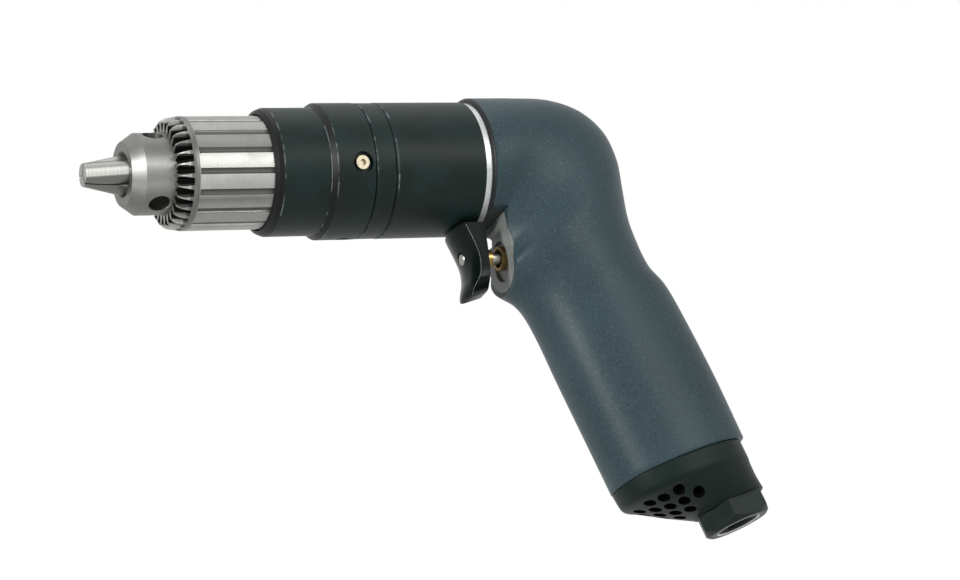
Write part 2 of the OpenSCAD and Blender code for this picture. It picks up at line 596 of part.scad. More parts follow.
// stations of the trigger from top to bottom: drop below the barrel, front, back, how far the sides
// are drawn in from the full half width, how far the back edge lies above the front edge
function trigger_row(drop, front, back, draw, lift) = [-case_r - drop, trig_x + front,
  trig_x + back, trigger_w / 2 - draw, lift];
trigger_rows = smooth([
  trigger_row(0.6, -2.3, 6.6, 0, 0),
  trigger_row(2, -1.9, 6.5, 0, 0),
  trigger_row(6, -0.7, 6.3, 0, 0),
  trigger_row(10.5, 0.3, 6, 0, 0),
  trigger_row(14, 0.3, 5.6, 0, 0),
  trigger_row(17, -0.3, 5.2, 0, 0),
  trigger_row(19.2, -1.1, 4.9, 0.3, 0.3),
  trigger_row(20.6, -1.5, 4.9, 1.1, 0.8),
  trigger_row(21.8, -1.6, 5, 2.2, 1.3),
  trigger_row(22.6, -1.2, 5.2, 3.4, 1.5),
  trigger_row(23, -0.7, 5.3, 4.6, 1.5),
  trigger_row(23.2, 0, 5.3, 5.8, 1.5)], 2);
module trigger() color(black) difference() {
  n = 12;
  m = len(trigger_rows);
  w = n + 3;
  pts = [for (q = trigger_rows) each concat(
    [for (k = [0 : n]) let (y = q[3] * (2 * k / n - 1))
      [min(q[1] + crown_r - sqrt(crown_r * crown_r - y * y), q[2] - 0.4), y, q[0]]],
    [[q[2], q[3], q[0] + q[4]], [q[2], -q[3], q[0] + q[4]]])];
  faces = concat([[for (k = [0 : w - 1]) w - 1 - k]], [[for (k = [0 : w - 1]) (m - 1) * w + k]],
    [for (i = [0 : m - 2], k = [0 : w - 1]) [i * w + k, i * w + (k + 1) % w, (i + 1) * w + k]],
    [for (i = [0 : m - 2], k = [0 : w - 1])
      [(i + 1) * w + k, i * w + (k + 1) % w, (i + 1) * w + (k + 1) % w]]);
  polyhedron(points = pts, faces = faces, convexity = 4);
  translate([0, 0, -plunger_drop]) rod(trig_x - 5, trig_x + 20, plunger_r + 0.01);
}
module trigger_plunger() color(steel) translate([0, 0, -plunger_drop])
  turn([[0, trig_x + 0.1], [plunger_r - 0.3, trig_x + 0.1], [plunger_r, trig_x + 0.4],
    [plunger_r, valve_x1 + 0.02], [0, valve_x1 + 0.02]]);
module plunger_collar() color(brass) translate([0, 0, -plunger_drop])
  ring(collar_x0, collar_x0 + 1.9, plunger_r + 0.8, plunger_r + 0.01);

// base
module base_cap() color(black) difference() {
  loft(cap_rows, 40);
  grip(inlet_v, grip_len - 1) cylinder(h = 30, r = 9 + seat);
  // exhaust chamber
  grip(-23.3, grip_len - 1) intersection() {
    cylinder(h = 30, r = 9.4);
    translate([-23.3 - slant_v, 0, slant_u - grip_len + 1]) rotate([0, slant, 0])
      translate([-80, -40, -82.6]) cube([160, 80, 80]);
  }
  for (s = [-1, 1]) grip(-19.5, grip_len - 1) translate([0, s * 8.6, 0]) cylinder(h = 6.5, r = 4.8);
  // exhaust holes in staggered rows
  for (k = [-3 : 3], j = [0 : 2]) if (abs(k) == 1 || (abs(k) % 2 == 0 && j < 2) || (abs(k) == 3 && j > 0))
    grip(slant_v + exhaust_step * (j + (abs(k) % 2 == 0 ? 0.5 : abs(k) == 3 ? 0.1 : 0)), grip_len + 3)
      translate([0, k * 3.8, 0]) cylinder(h = 25, r = exhaust_d / 2, $fn = 32);
}
module inlet_bushing() color(black) grip(inlet_v, 0) difference() {
  union() {
    translate([0, 0, grip_len - 8]) cylinder(h = cap_u1 + 10 - grip_len, r = 9);
    intersection() {
      translate([0, 0, cap_u1 + 0.05]) cylinder(h = mouth_u - cap_u1 - 0.05, r = hex_af / sqrt(3), $fn = 6);
      translate([0, 0, cap_u1 - 1]) rotate_extrude() polygon([[0, 0], [14, 0], [14, 4.6], [9.6, 8], [0, 8]]);
    }
  }
  translate([0, 0, mouth_u - 13]) cylinder(h = 20, r = inlet_bore_d / 2);
  translate([0, 0, mouth_u - 14]) cylinder(h = 2, r = inlet_bore_d / 2 - 0.45);
  translate([0, 0, mouth_u - 1.2]) cylinder(h = 1.3, r1 = inlet_bore_d / 2, r2 = inlet_bore_d / 2 + 1.45);
  translate([0, 0, grip_len - 20]) cylinder(h = 40, r = 4.4);
  translate([0, 0, grip_len - 5]) rotate_extrude() translate([9, 0]) circle(r = 0.95 + run);
}
module inlet_seal() color(black) grip(inlet_v, grip_len - 5) rotate_extrude() difference() {
  translate([9 - 0.01, 0]) circle(r = 0.9);
  translate([9 + seat / 2, -3]) square([5, 6]);
}
module inlet_screen() color(steel) grip(inlet_v, mouth_u - 13.95) difference() {
  cylinder(h = 0.8, r = inlet_bore_d / 2 - 0.5);
  for (k = [0 : 5]) rotate([0, 0, k * 60]) translate([3, 0, -1]) cylinder(h = 3, r = 1);
  translate([0, 0, -1]) cylinder(h = 3, r = 1);
}

chuck_body();
chuck_sleeve();
chuck_nut();
chuck_jaw_1();
chuck_jaw_2();
chuck_jaw_3();
front_cap();
gear_housing();
grease_nipple();
lock_ring();
motor_housing();
light_ring();
spindle();
carrier_ring();
planet_pins();
planet_gear_1();
planet_gear_2();
planet_gear_3();
ring_gear();
spindle_front_outer();
spindle_front_inner();
spindle_front_balls();
spindle_rear_outer();
spindle_rear_inner();
spindle_rear_balls();
bearing_plate();
front_end_plate();
motor_cylinder();
rotor();
vane_1();
vane_2();
vane_3();
vane_4();
vane_5();
rear_end_plate();
rotor_front_outer();
rotor_front_inner();
rotor_front_balls();
rotor_rear_outer();
rotor_rear_inner();
rotor_rear_balls();
handle();
trigger_plate();
trigger();
trigger_plunger();
plunger_collar();
valve_body();
valve_disc();
valve_spring();
base_cap();
silencer();
inlet_bushing();
inlet_seal();
inlet_screen();
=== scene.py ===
"""Gives the air drill its skins, finishes, light and camera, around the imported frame."""
import math

import bmesh
import bpy
from bpy.props import FloatProperty, FloatVectorProperty, IntProperty, PointerProperty
from mathutils import Matrix, Vector


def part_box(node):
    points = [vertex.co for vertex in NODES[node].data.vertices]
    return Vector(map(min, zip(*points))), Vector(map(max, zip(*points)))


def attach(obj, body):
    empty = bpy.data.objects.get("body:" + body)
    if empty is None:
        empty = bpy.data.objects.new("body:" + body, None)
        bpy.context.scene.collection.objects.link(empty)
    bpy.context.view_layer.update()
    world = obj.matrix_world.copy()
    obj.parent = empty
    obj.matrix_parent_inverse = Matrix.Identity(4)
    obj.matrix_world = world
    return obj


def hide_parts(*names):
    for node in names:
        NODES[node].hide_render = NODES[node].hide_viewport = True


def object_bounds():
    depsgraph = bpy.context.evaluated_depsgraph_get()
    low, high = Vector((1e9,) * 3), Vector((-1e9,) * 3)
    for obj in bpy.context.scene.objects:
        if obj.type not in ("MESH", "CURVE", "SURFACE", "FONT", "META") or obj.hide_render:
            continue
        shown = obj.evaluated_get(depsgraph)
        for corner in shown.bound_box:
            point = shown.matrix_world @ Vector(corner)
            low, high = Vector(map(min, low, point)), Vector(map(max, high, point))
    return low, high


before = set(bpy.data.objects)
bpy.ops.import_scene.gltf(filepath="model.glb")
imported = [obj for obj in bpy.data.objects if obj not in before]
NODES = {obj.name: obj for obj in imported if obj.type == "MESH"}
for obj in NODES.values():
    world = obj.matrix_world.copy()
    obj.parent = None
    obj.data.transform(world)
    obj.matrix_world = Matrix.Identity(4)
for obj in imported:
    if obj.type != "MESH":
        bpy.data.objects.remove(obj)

bl_info = {
    "name": "Air drill looks",
    "version": (1, 0, 0),
    "blender": (4, 5, 0),
    "location": "3D View > Sidebar > Air drill",
    "description": "Skins, finishes and studio for a pistol-grip air drill",
    "category": "Object",
}

MM = 0.001
CAD_BOX = [list(corner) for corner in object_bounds()]

# places that the frame gives
HANDLE_X0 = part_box("handle")[0].x
CASE_X0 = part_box("lock_ring")[1].x + 0.2 * MM
CASE_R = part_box("motor_housing")[1].z
HANDLE_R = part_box("handle")[1].z
PLATE_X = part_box("trigger_plate")[0].x
PLUNGER_LOW, PLUNGER_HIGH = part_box("trigger_plunger")
PLUNGER_Z = (PLUNGER_LOW.z + PLUNGER_HIGH.z) / 2
PLUNGER_R = (PLUNGER_HIGH.z - PLUNGER_LOW.z) / 2
# where the grip's axis meets the barrel's, and the middle of the grip from its axis
GRIP_X = HANDLE_X0 + 35.1 * MM
GRIP_MIDDLE = -11.8 * MM

# rounded front edge of the handle, in mm: distance back, inset
HANDLE_EDGE = ((0, 1.2), (0.25, 0.75), (0.55, 0.3), (1, 0))
# bend of the handle, in mm: front x and z, back x and z, inset of the sides; then narrowing of the front
HANDLE_BEND = (
    (1.2, 0, 6, 0, 0, 0), (1.8, -0.5, 17, 0, 0, 0.04), (2.5, -2.2, 30, -0.6, 0, 0.14),
    (2.9, -5.8, 41, -4.4, 0.2, 0.22), (2.9, -9.8, 48.5, -12, 0.7, 0.25), (1.9, -13.6, 51.4, -22, 1.4, 0.2),
    (1, -16.8, 51.2, -32.5, 2.2, 0.12), (4, -19.6, 50.8, -42.5, 3, 0.1), (8, -21.9, 52, -51.5, 3.7, 0.08),
    (11, -26, 54.4, -60, 4.3, 0.04))
# grip: share of its length, swell of the back in mm, squareness
GRIP_SWELL = ((0.48, 0, 2.1), (0.62, 0.6, 2.2), (0.8, 0.9, 2.2))
# base cap, in mm: distance below the grip, shift of front and of back, inset of the sides; then squareness
CAP_STATIONS = (
    (0.1, 0.5, -1.6, 0.5, 2.2), (0.4, 0.3, -1.4, 0.3, 2.2), (3.6, 0.6, -1.4, 0.4, 2.2),
    (5.4, 1.1, -1.4, 0.5, 2.2), (6.6, 2.6, -1.4, 0.9, 2.2), (8, 5.6, -1.4, 1.7, 2.15),
    (12, 13.2, -1.3, 3.4, 2.1))
# trigger, in mm: drop below the barrel, shift of front and of back, draw of the sides, lift of the back
TRIGGER_STATIONS = (
    (0.6, -2.3, 6.6, 0, 0), (2, -1.9, 6.5, 0, 0), (6, -0.7, 6.3, 0, 0), (10.5, 0.3, 6, 0, 0),
    (14, 0.3, 5.6, 0, 0), (17, -0.3, 5.2, 0, 0), (19.2, -1.1, 4.9, 0.3, 0.3), (20.6, -1.5, 4.9, 1.1, 0.8),
    (21.8, -1.6, 5, 2.2, 1.3), (22.6, -1.2, 5.2, 3.4, 1.5), (23, -0.7, 5.3, 4.6, 1.5),
    (23.2, 0, 5.3, 5.8, 1.5))

# painted reflection: brightness painted into a metal's colour from face-on (0) to edge-on (1)
PAINTED_SATIN_REFLECTION = ((0, 0.66), (0.05, 0.72), (0.08, 0.95), (0.17, 0.62), (0.3, 0.52), (0.5, 0.58), (1, 0.6))
PAINTED_POLISHED_REFLECTION = ((0, 0.6), (0.06, 0.8), (0.084, 0.7), (0.12, 0.6), (0.164, 0.32), (0.227, 0.46),
            (0.48, 0.44), (1, 0.52))
PAINTED_GROUND_REFLECTION = ((0, 0.8), (0.07, 1.0), (0.13, 0.85), (0.2, 0.34), (0.35, 0.26), (0.6, 0.4), (1, 0.5))
PAINTED_DRAWN_REFLECTION = ((0, 1.0), (0.1, 1.0), (0.25, 0.5), (0.6, 0.3), (1, 0.3))

# lamps: direction from the drill, distance and size in metres, power in watts
LAMP_AIM = Vector((0.11, 0, -0.03))
LAMPS = {
    "left_softbox": ((-0.86, -0.50, 0.11), 0.9, 0.22, 6.5),
    "front_softbox": ((0.42, -0.88, 0.12), 1.0, 0.34, 3.0),
    "top_softbox": ((-0.1, -0.2, 1.0), 1.0, 0.9, 3.4),
}
# camera: turn, rise and roll in degrees, target and distance in metres, lens and sensor in mm
CAMERA_ANGLES = (-26.606, -20.851, -11.961)
CAMERA_TARGET = Vector((111.416, 0, -41.055)) * MM
CAMERA_AWAY = 0.95
CAMERA_LENS, CAMERA_SENSOR = 115.85, 36
FLOOR_R, FLOOR_GAP = 6, 0.3 * MM


def length(name, description, default):
    """A size in metres that shows in the sidebar."""
    return FloatProperty(name=name, description=description, default=default, unit="LENGTH", precision=5)


def angle(name, description, degrees):
    """An angle that shows in the sidebar."""
    return FloatProperty(name=name, description=description, default=math.radians(degrees), subtype="ANGLE")


def colour(name, description, default):
    """A linear colour that shows in the sidebar."""
    return FloatVectorProperty(name=name, description=description, default=default, subtype="COLOR",
                               size=3, min=0, max=1)


class DrillSizes(bpy.types.PropertyGroup):
    """Sizes of the pieces that are skinned here."""

    rake: angle("Rake", "Lean of the grip from upright", 15)
    grip_depth: length("Grip depth", "Depth of the grip, front to back", 46.4 * MM)
    grip_width: length("Grip width", "Width of the grip", 34.4 * MM)
    grip_len: length("Grip length", "Distance along the grip to the base cap", 103 * MM)
    seat_r: length("Motor seat radius", "Radius of the seat for the motor housing", 16.93 * MM)
    seat_depth: length("Motor seat depth", "Depth of the seat for the motor housing", 9.6 * MM)
    motor_r: length("Motor bore radius", "Radius of the bore for the motor's end", 15.5 * MM)
    valve_r: length("Valve bore radius", "Radius of the bore for the throttle valve", 5.93 * MM)
    relief_r: length("Relief radius", "Radius of the groove past the trigger plate", 1.9 * MM)
    relief_turn: angle("Relief turn", "Turn of the groove about the upright", 63.4)
    relief_tilt: angle("Relief tilt", "Tilt of the groove", 69.1)
    inlet_v: length("Inlet offset", "Place of the inlet across the grip", -1.1 * MM)
    inlet_seat_r: length("Inlet seat radius", "Radius of the bore for the inlet bushing", 9.03 * MM)
    mouth_drop: length("Inlet mouth", "Distance from the grip's end to the inlet's mouth", 23.5 * MM)
    bore_r: length("Inlet bore radius", "Minor radius of the inlet thread", 5.75 * MM)
    thread_pitch: length("Thread pitch", "Pitch of the inlet thread", 1.337 * MM)
    thread_height: length("Thread height", "Height of the inlet thread's ridge", 0.42 * MM)
    cap_drop: length("Base cap height", "Distance from the grip's end to the collar's end", 16.5 * MM)
    collar_r: length("Collar radius", "Radius of the base cap's collar", 11.9 * MM)
    chamber_v: length("Exhaust offset", "Place of the exhaust chamber across the grip", -23.3 * MM)
    chamber_r: length("Exhaust chamber radius", "Radius of the exhaust chamber in the grip", 9 * MM)
    exhaust_v: length("Exhaust hole offset", "Place of the foremost holes across the grip", -28.8 * MM)
    exhaust_r: length("Exhaust hole radius", "Radius of the holes in the base cap", 1.85 * MM)
    exhaust_step: length("Exhaust hole step", "Distance between holes in a column", 6.05 * MM)
    exhaust_pitch: length("Exhaust column pitch", "Distance between columns of holes", 3.8 * MM)
    trigger_w: length("Trigger width", "Width of the trigger", 16 * MM)
    trigger_crown: length("Trigger crown", "Radius of the trigger's rounded front", 15 * MM)
    trigger_edge: length("Trigger edge", "Width of the trigger's rounded edge", 0.4 * MM)
    sides: IntProperty(name="Skin sides", description="Points round a skin", default=144, min=24, max=256)


class DrillColours(bpy.types.PropertyGroup):
    """Main colours of the finishes."""

    coat: colour("Handle coat", "Blue-grey coat of the handle", (0.0235, 0.0425, 0.0495))
    chamfer: colour("Handle chamfer", "Dark front edge of the handle", (0.008, 0.0095, 0.01))
    casting: colour("Bare casting", "Uncoated faces of the handle", (0.040, 0.047, 0.047))
    barrel: colour("Barrel", "Black coat of the barrel", (0.0025, 0.0090, 0.0076))
    # pale colour for the barrel's rubbed edges, also painted there as the highlights along them
    bare: colour("Worn barrel", "Bare metal on the barrel's worn edges", (0.25, 0.28, 0.30))
    steel: colour("Steel", "Bright steel of the chuck", (0.31, 0.308, 0.292))
    cap: colour("Base cap", "Satin black of the base cap", (0.0030, 0.0098, 0.0078))
    # painted shade: near black for the walls of the exhaust holes
    painted_hole_shade: colour("Exhaust soot", "Soot in the exhaust holes", (0.003, 0.003, 0.003))
    trigger: colour("Trigger", "Glossy black of the trigger", (0.0030, 0.0060, 0.0054))
    # painted highlight: pale colour of the trigger's rounded edges
    highlight_and_wear: colour("Trigger edge", "Rubbed edge of the trigger", (0.52, 0.56, 0.55))
    plate: colour("Trigger plate", "Grey of the trigger plate", (0.165, 0.178, 0.165))
    oxide: colour("Inlet", "Black oxide of the inlet bushing", (0.0055, 0.0130, 0.0105))
    mouth: colour("Inlet mouth", "Bare steel round the inlet's mouth", (0.62, 0.63, 0.62))
    thread: colour("Inlet thread", "Black of the inlet thread", (0.020, 0.030, 0.026))
    brass: colour("Brass", "Turned brass", (0.52, 0.36, 0.13))
    alloy: colour("Light ring", "Light alloy of the ring before the handle", (0.56, 0.57, 0.58))
    nickel: colour("Grease nipple", "Pale nickel of the grease nipple", (0.44, 0.39, 0.28))
    rubber: colour("Rubber", "Rubber of the seals", (0.012, 0.012, 0.012))
    resin: colour("Vanes", "Pressed resin of the vanes", (0.17, 0.09, 0.04))
    felt: colour("Silencer", "Felt of the silencer", (0.4, 0.37, 0.3))


class Value:
    """A shader socket that takes part in Python expressions."""

    def __init__(self, finish, socket):
        self.finish = finish
        self.socket = socket

    def math(self, operation, *values):
        return self.finish.node("ShaderNodeMath", {"operation": operation}, dict(enumerate(values)))[0]

    def absolute(self):
        return self.math("ABSOLUTE", self)

    def fraction(self):
        return self.math("FRACT", self)

    def capped(self):
        """The value, but at most one."""
        return self.math("MINIMUM", self, 1.0)

    def __add__(self, other):
        return self.math("ADD", self, other)

    def __radd__(self, other):
        return self.math("ADD", other, self)

    def __sub__(self, other):
        return self.math("SUBTRACT", self, other)

    def __rsub__(self, other):
        return self.math("SUBTRACT", other, self)

    def __mul__(self, other):
        return self.math("MULTIPLY", self, other)

    def __rmul__(self, other):
        return self.math("MULTIPLY", other, self)

    def __truediv__(self, other):
        return self.math("DIVIDE", self, other)

    def __rtruediv__(self, other):
        return self.math("DIVIDE", other, self)

    def __pow__(self, other):
        return self.math("POWER", self, other)

    def __rpow__(self, other):
        return self.math("POWER", other, self)

    def __gt__(self, other):
        return self.math("GREATER_THAN", self, other)

    def __lt__(self, other):
        return self.math("LESS_THAN", self, other)


class NodeOutputs:
    """The outputs of one shader node, by name or number."""

    def __init__(self, finish, made):
        self.finish = finish
        self.made = made

    def __getitem__(self, key):
        return Value(self.finish, self.made.outputs[key])


class Finish:
    """A material or world whose nodes are added by expressions."""

    def __init__(self, tree):
        self.tree = tree
        tree.nodes.clear()

    def node(self, kind, settings=None, inputs=None):
        """Adds any node: its settings first, then the values or links of its sockets."""
        made = self.tree.nodes.new(kind)
        for key, value in (settings or {}).items():
            if key == "stops":
                ramp = made.color_ramp
                while len(ramp.elements) < len(value):
                    ramp.elements.new(1)
                for element, (place, tone) in zip(ramp.elements, value):
                    element.position = place
                    element.color = (*tone, 1)
            else:
                setattr(made, key, value)
        for key, value in (inputs or {}).items():
            socket = made.inputs[key]
            if isinstance(value, Value):
                self.tree.links.new(value.socket, socket)
            elif hasattr(value, "__len__") and len(value) == 3 and socket.type == "RGBA":
                socket.default_value = (*value, 1)
            else:
                socket.default_value = value
        return NodeOutputs(self, made)

    def place(self):
        """Place on the piece, in the drill's own frame."""
        return self.node("ShaderNodeTexCoord")["Object"]

    def axes(self, vector):
        parts = self.node("ShaderNodeSeparateXYZ", None, {0: vector})
        return parts["X"], parts["Y"], parts["Z"]

    def round_axes(self, vector):
        """Distance along the spindle axis, and radius from it."""
        x, y, z = self.axes(vector)
        return x, (y * y + z * z) ** 0.5

    def noise(self, vector, scale, detail=2.0, roughness=0.5):
        inputs = {"Vector": vector, "Scale": scale, "Detail": detail, "Roughness": roughness}
        return self.node("ShaderNodeTexNoise", None, inputs)[0]

    def lines(self, place, scale, detail=2.0):
        """Noise that changes along one value only, for turned or drawn marks."""
        inputs = {"W": place, "Scale": scale, "Detail": detail}
        return self.node("ShaderNodeTexNoise", {"noise_dimensions": "1D"}, inputs)[0]

    def spread(self, value, low, high, to_low=0.0, to_high=1.0):
        """Maps low..high to to_low..to_high and holds the ends."""
        inputs = {0: value, 1: low, 2: high, 3: to_low, 4: to_high}
        return self.node("ShaderNodeMapRange", {"interpolation_type": "SMOOTHSTEP"}, inputs)[0]

    def between(self, value, start, end, fade):
        """One from start to end, with a fade inside each."""
        return self.spread(value, start, start + fade) * self.spread(value, end, end - fade)

    def edge(self, value, at, width):
        """One on a narrow line where value equals at, falling to zero at width."""
        return self.spread((value - at).absolute(), 0.0, width, to_low=1.0, to_high=0.0)

    def mix(self, share, first, second):
        return self.node("ShaderNodeMix", {"data_type": "RGBA"}, {0: share, 6: first, 7: second})[2]

    def bump(self, height, strength, distance):
        inputs = {"Strength": strength, "Distance": distance, "Height": height}
        return self.node("ShaderNodeBump", None, inputs)[0]

    def painted_reflection(self, base, shares):
        """Paints reflection into a metal's colour: brightens or darkens it with the angle at which it is
        seen.
        """
        facing = self.node("ShaderNodeLayerWeight", None, {"Blend": 0.5})["Facing"]
        stops = [(place, (share, share, share)) for place, share in shares]
        share = self.node("ShaderNodeValToRGB", {"stops": stops}, {0: facing})[0]
        settings = {"data_type": "RGBA", "blend_type": "MULTIPLY"}
        return self.node("ShaderNodeMix", settings, {0: 1.0, 6: base, 7: share})[2]

    def close(self, constants, **varying):
        """Joins the varying values to the Principled shader, and the constants on its own sockets."""
        inputs = {**constants, **{key.replace("_", " "): value for key, value in varying.items()}}
        shader = self.node("ShaderNodeBsdfPrincipled", None, inputs)
        self.node("ShaderNodeOutputMaterial", None, {"Surface": shader[0]})


def surface(name):
    """A new material, and its finish to add nodes with."""
    material = bpy.data.materials.new(name)
    material.use_nodes = True
    return material, Finish(material.node_tree)


def scaled(tone, share):
    """The same colour, lighter or darker."""
    return tuple(min(1.0, c * share) for c in tone)


def sleeve_painted_shade(finish, base, tone, x, radius, sleeve):
    """Painted shade in the flutes and painted shadow between the key gear's teeth of a sleeve, and a darker
    band on the gear's rim, given its front, the gear's end and its radius.
    """
    front_x, gear_x1, outer_r = sleeve
    behind = x - front_x
    flute = finish.spread(radius, outer_r - 0.6 * MM, outer_r - 0.25 * MM, to_low=1, to_high=0)
    flute = flute * (x > gear_x1)
    over_crest = radius - behind * 0.2 - (outer_r - 1.05 * MM)
    gap = finish.spread(over_crest, -1.3 * MM, -0.5 * MM, to_low=1, to_high=0)
    gap = gap * finish.spread(behind, 0.05 * MM, 0.12 * MM) * (x < gear_x1)
    rim = finish.spread(behind, 3.2 * MM, 3.6 * MM) * finish.spread(behind, 6.2 * MM, 6.0 * MM)
    # the rim band is darker; painted shade darkens the flutes, and painted shadow darkens the gaps between
    # the gear's teeth almost to black
    base = finish.mix(rim * 0.85, base, scaled(tone, 0.2))
    base = finish.mix(flute, base, scaled(tone, 0.2))
    base = finish.mix(gap, base, scaled(tone, 0.02))
    return base, flute * 0.25 + gap * 0.4


def turned_steel(name, tone, rough, sleeve=None, painted_reflection=None):
    """Turned steel: fine rings round the axis, faint stains, a painted reflection where a table is given, and
    for a sleeve painted shade in its flutes and gear gaps.
    """
    material, finish = surface(name)
    place = finish.place()
    x, radius = finish.round_axes(place)
    cut = x + radius * 0.7
    rings = finish.lines(cut, scale=5200, detail=3)
    wide = finish.lines(cut, scale=900)
    stain = finish.noise(place, scale=130, detail=4, roughness=0.6)
    speck = finish.noise(place, scale=2600, roughness=0.7)
    base = finish.mix(finish.spread(rings, low=0.3, high=0.7), scaled(tone, 0.84), scaled(tone, 1.12))
    base = finish.mix(finish.spread(stain, low=0.42, high=0.7, to_high=0.35), base, scaled(tone, 0.66))
    base = finish.mix(finish.spread(speck, low=0.62, high=0.8, to_high=0.3), base, scaled(tone, 0.5))
    roughness = rough + rings * 0.12 + stain * 0.12
    # painted reflection: the colour brightens or darkens with the angle at which the steel is seen
    if painted_reflection:
        base = finish.painted_reflection(base, painted_reflection)
    # painted shade in the sleeve's flutes and gear gaps, which are also made rougher
    if sleeve:
        base, dull = sleeve_painted_shade(finish, base, tone, x, radius, sleeve)
        roughness = roughness + dull
    height = rings * 0.6 + wide * 0.4 + speck * 0.5
    finish.close({"Metallic": 1.0}, Base_Color=base, Roughness=roughness,
                 Normal=finish.bump(height, strength=0.18, distance=0.03 * MM))
    return material


def ground_steel(name, tone, axis=0, painted_reflection=None, dull_to=None, painted_under_shade=1.0):
    """Ground steel with marks across an axis, a painted reflection where a table is given, duller up to a
    place on it, and painted shade where it faces down.
    """
    material, finish = surface(name)
    place = finish.place()
    along = finish.axes(place)[axis]
    marks = finish.lines(along, scale=4200, detail=3)
    cloud = finish.noise(place, scale=320, detail=3)
    base = finish.mix(finish.spread(marks, low=0.3, high=0.7), scaled(tone, 0.8), scaled(tone, 1.15))
    base = finish.mix(finish.spread(cloud, low=0.5, high=0.75, to_high=0.3), base, scaled(tone, 0.7))
    # painted reflection: the colour brightens or darkens with the angle at which the steel is seen
    if painted_reflection:
        base = finish.painted_reflection(base, painted_reflection)
    # painted shade: faces that look down are darkened
    if painted_under_shade < 1.0:
        down = finish.axes(finish.node("ShaderNodeNewGeometry")["Normal"])[2]
        base = finish.mix(finish.spread(down, low=-0.5, high=-0.66), base, scaled(tone, painted_under_shade))
    if dull_to:
        base = finish.mix(along < dull_to, base, scaled(tone, 0.3))
    finish.close({"Metallic": 1.0}, Base_Color=base, Roughness=0.24 + marks * 0.1 + cloud * 0.12,
                 Normal=finish.bump(marks, strength=0.15, distance=0.03 * MM))
    return material


def bright_metal(name, tone, rough):
    """Turned brass or alloy with drawn marks."""
    material, finish = surface(name)
    place = finish.place()
    x, radius = finish.round_axes(place)
    marks = finish.lines(radius + x * 0.5, scale=4800)
    cloud = finish.noise(place, scale=500, detail=3)
    base = finish.mix(finish.spread(marks, low=0.3, high=0.7), scaled(tone, 0.82), scaled(tone, 1.15))
    base = finish.mix(finish.spread(cloud, low=0.5, high=0.8, to_high=0.4), base, scaled(tone, 0.6))
    finish.close({"Metallic": 1.0}, Base_Color=base, Roughness=rough + marks * 0.12 + cloud * 0.1,
                 Normal=finish.bump(marks, strength=0.15, distance=0.03 * MM))
    return material


def black_coat(name, colours, edges, bevel=None):
    """Satin black coat: soft blotches, fine dust, pale bare-metal lines at given edges that also paint the
    highlights along them, a dark bevel between two.
    """
    tone = colours.barrel
    material, finish = surface(name)
    place = finish.place()
    x = finish.axes(place)[0]
    blotch = finish.noise(place, scale=85, detail=4, roughness=0.55)
    fine = finish.noise(place, scale=2400, detail=3, roughness=0.65)
    dust = finish.spread(finish.noise(place, scale=1500, detail=1), low=0.7, high=0.78)
    patch = finish.spread(finish.noise(place, scale=150, detail=3, roughness=0.7), low=0.50, high=0.64)
    base = finish.mix(finish.spread(blotch, low=0.35, high=0.7), scaled(tone, 0.75), scaled(tone, 1.5))
    base = finish.mix(dust * 0.35, base, scaled(tone, 5.0))
    if bevel:
        base = finish.mix(finish.between(x, *bevel, fade=0.1 * MM), base, scaled(tone, 0.1))
    # pale lines at the given edges: rubbed-through paint, and painted highlights along the edges
    edge_wear_and_highlight = 0.0
    for at in edges:
        edge_wear_and_highlight = finish.edge(x, at, width=0.28 * MM) + edge_wear_and_highlight
    highlight_and_wear = (edge_wear_and_highlight * patch).capped()
    base = finish.mix(highlight_and_wear * 0.5, base, colours.bare)
    finish.close({"Specular IOR Level": 0.2}, Base_Color=base, Roughness=0.36 + blotch * 0.14 + fine * 0.06,
                 Normal=finish.bump(fine, strength=0.10, distance=0.05 * MM))
    return material


def handle_coat(name, colours, front_x):
    """Textured blue-grey coat with a fine sparkle of specks, dark on the front chamfer."""
    tone = colours.coat
    material, finish = surface(name)
    place = finish.place()
    x = finish.axes(place)[0]
    grain = finish.noise(place, scale=2100, roughness=0.7)
    coarse = finish.noise(place, scale=620, detail=3, roughness=0.6)
    cloud = finish.noise(place, scale=42, detail=3)
    light = finish.spread(grain, low=0.55, high=0.70)
    dark = finish.spread(grain, low=0.40, high=0.26)
    base = finish.mix(finish.spread(cloud, low=0.3, high=0.7), scaled(tone, 0.9), scaled(tone, 1.1))
    base = finish.mix(finish.spread(coarse, low=0.35, high=0.65, to_high=0.5), base, scaled(tone, 1.22))
    base = finish.mix(light * 0.8, base, scaled(tone, 2.4))
    base = finish.mix(dark * 0.8, base, scaled(tone, 0.4))
    front = finish.spread(x, front_x + 0.8 * MM, front_x + 1.05 * MM, to_low=1, to_high=0)
    base = finish.mix(front, base, colours.chamfer)
    roughness = 0.38 + coarse * 0.12 - light * 0.06
    finish.close({"Specular IOR Level": 0.2}, Base_Color=base, Roughness=roughness,
                 Normal=finish.bump(grain * 0.7 + coarse * 0.5, strength=0.22, distance=0.06 * MM))
    return material


def moulded(name, tone, rough, grain, gloss=0.2):
    """Smooth moulding with faint flow marks and handling smears."""
    material, finish = surface(name)
    place = finish.place()
    smear = finish.noise(place, scale=160, detail=4, roughness=0.6)
    fine = finish.noise(place, scale=1700)
    base = finish.mix(finish.spread(smear, low=0.35, high=0.7), scaled(tone, 0.9), scaled(tone, 1.2))
    base = finish.mix(finish.spread(fine, low=0.68, high=0.8, to_high=0.4), base, scaled(tone, 4))
    finish.close({"Specular IOR Level": gloss}, Base_Color=base, Roughness=rough + smear * 0.16 + fine * 0.05,
                 Normal=finish.bump(fine + smear * 0.5, strength=grain, distance=0.05 * MM))
    return material


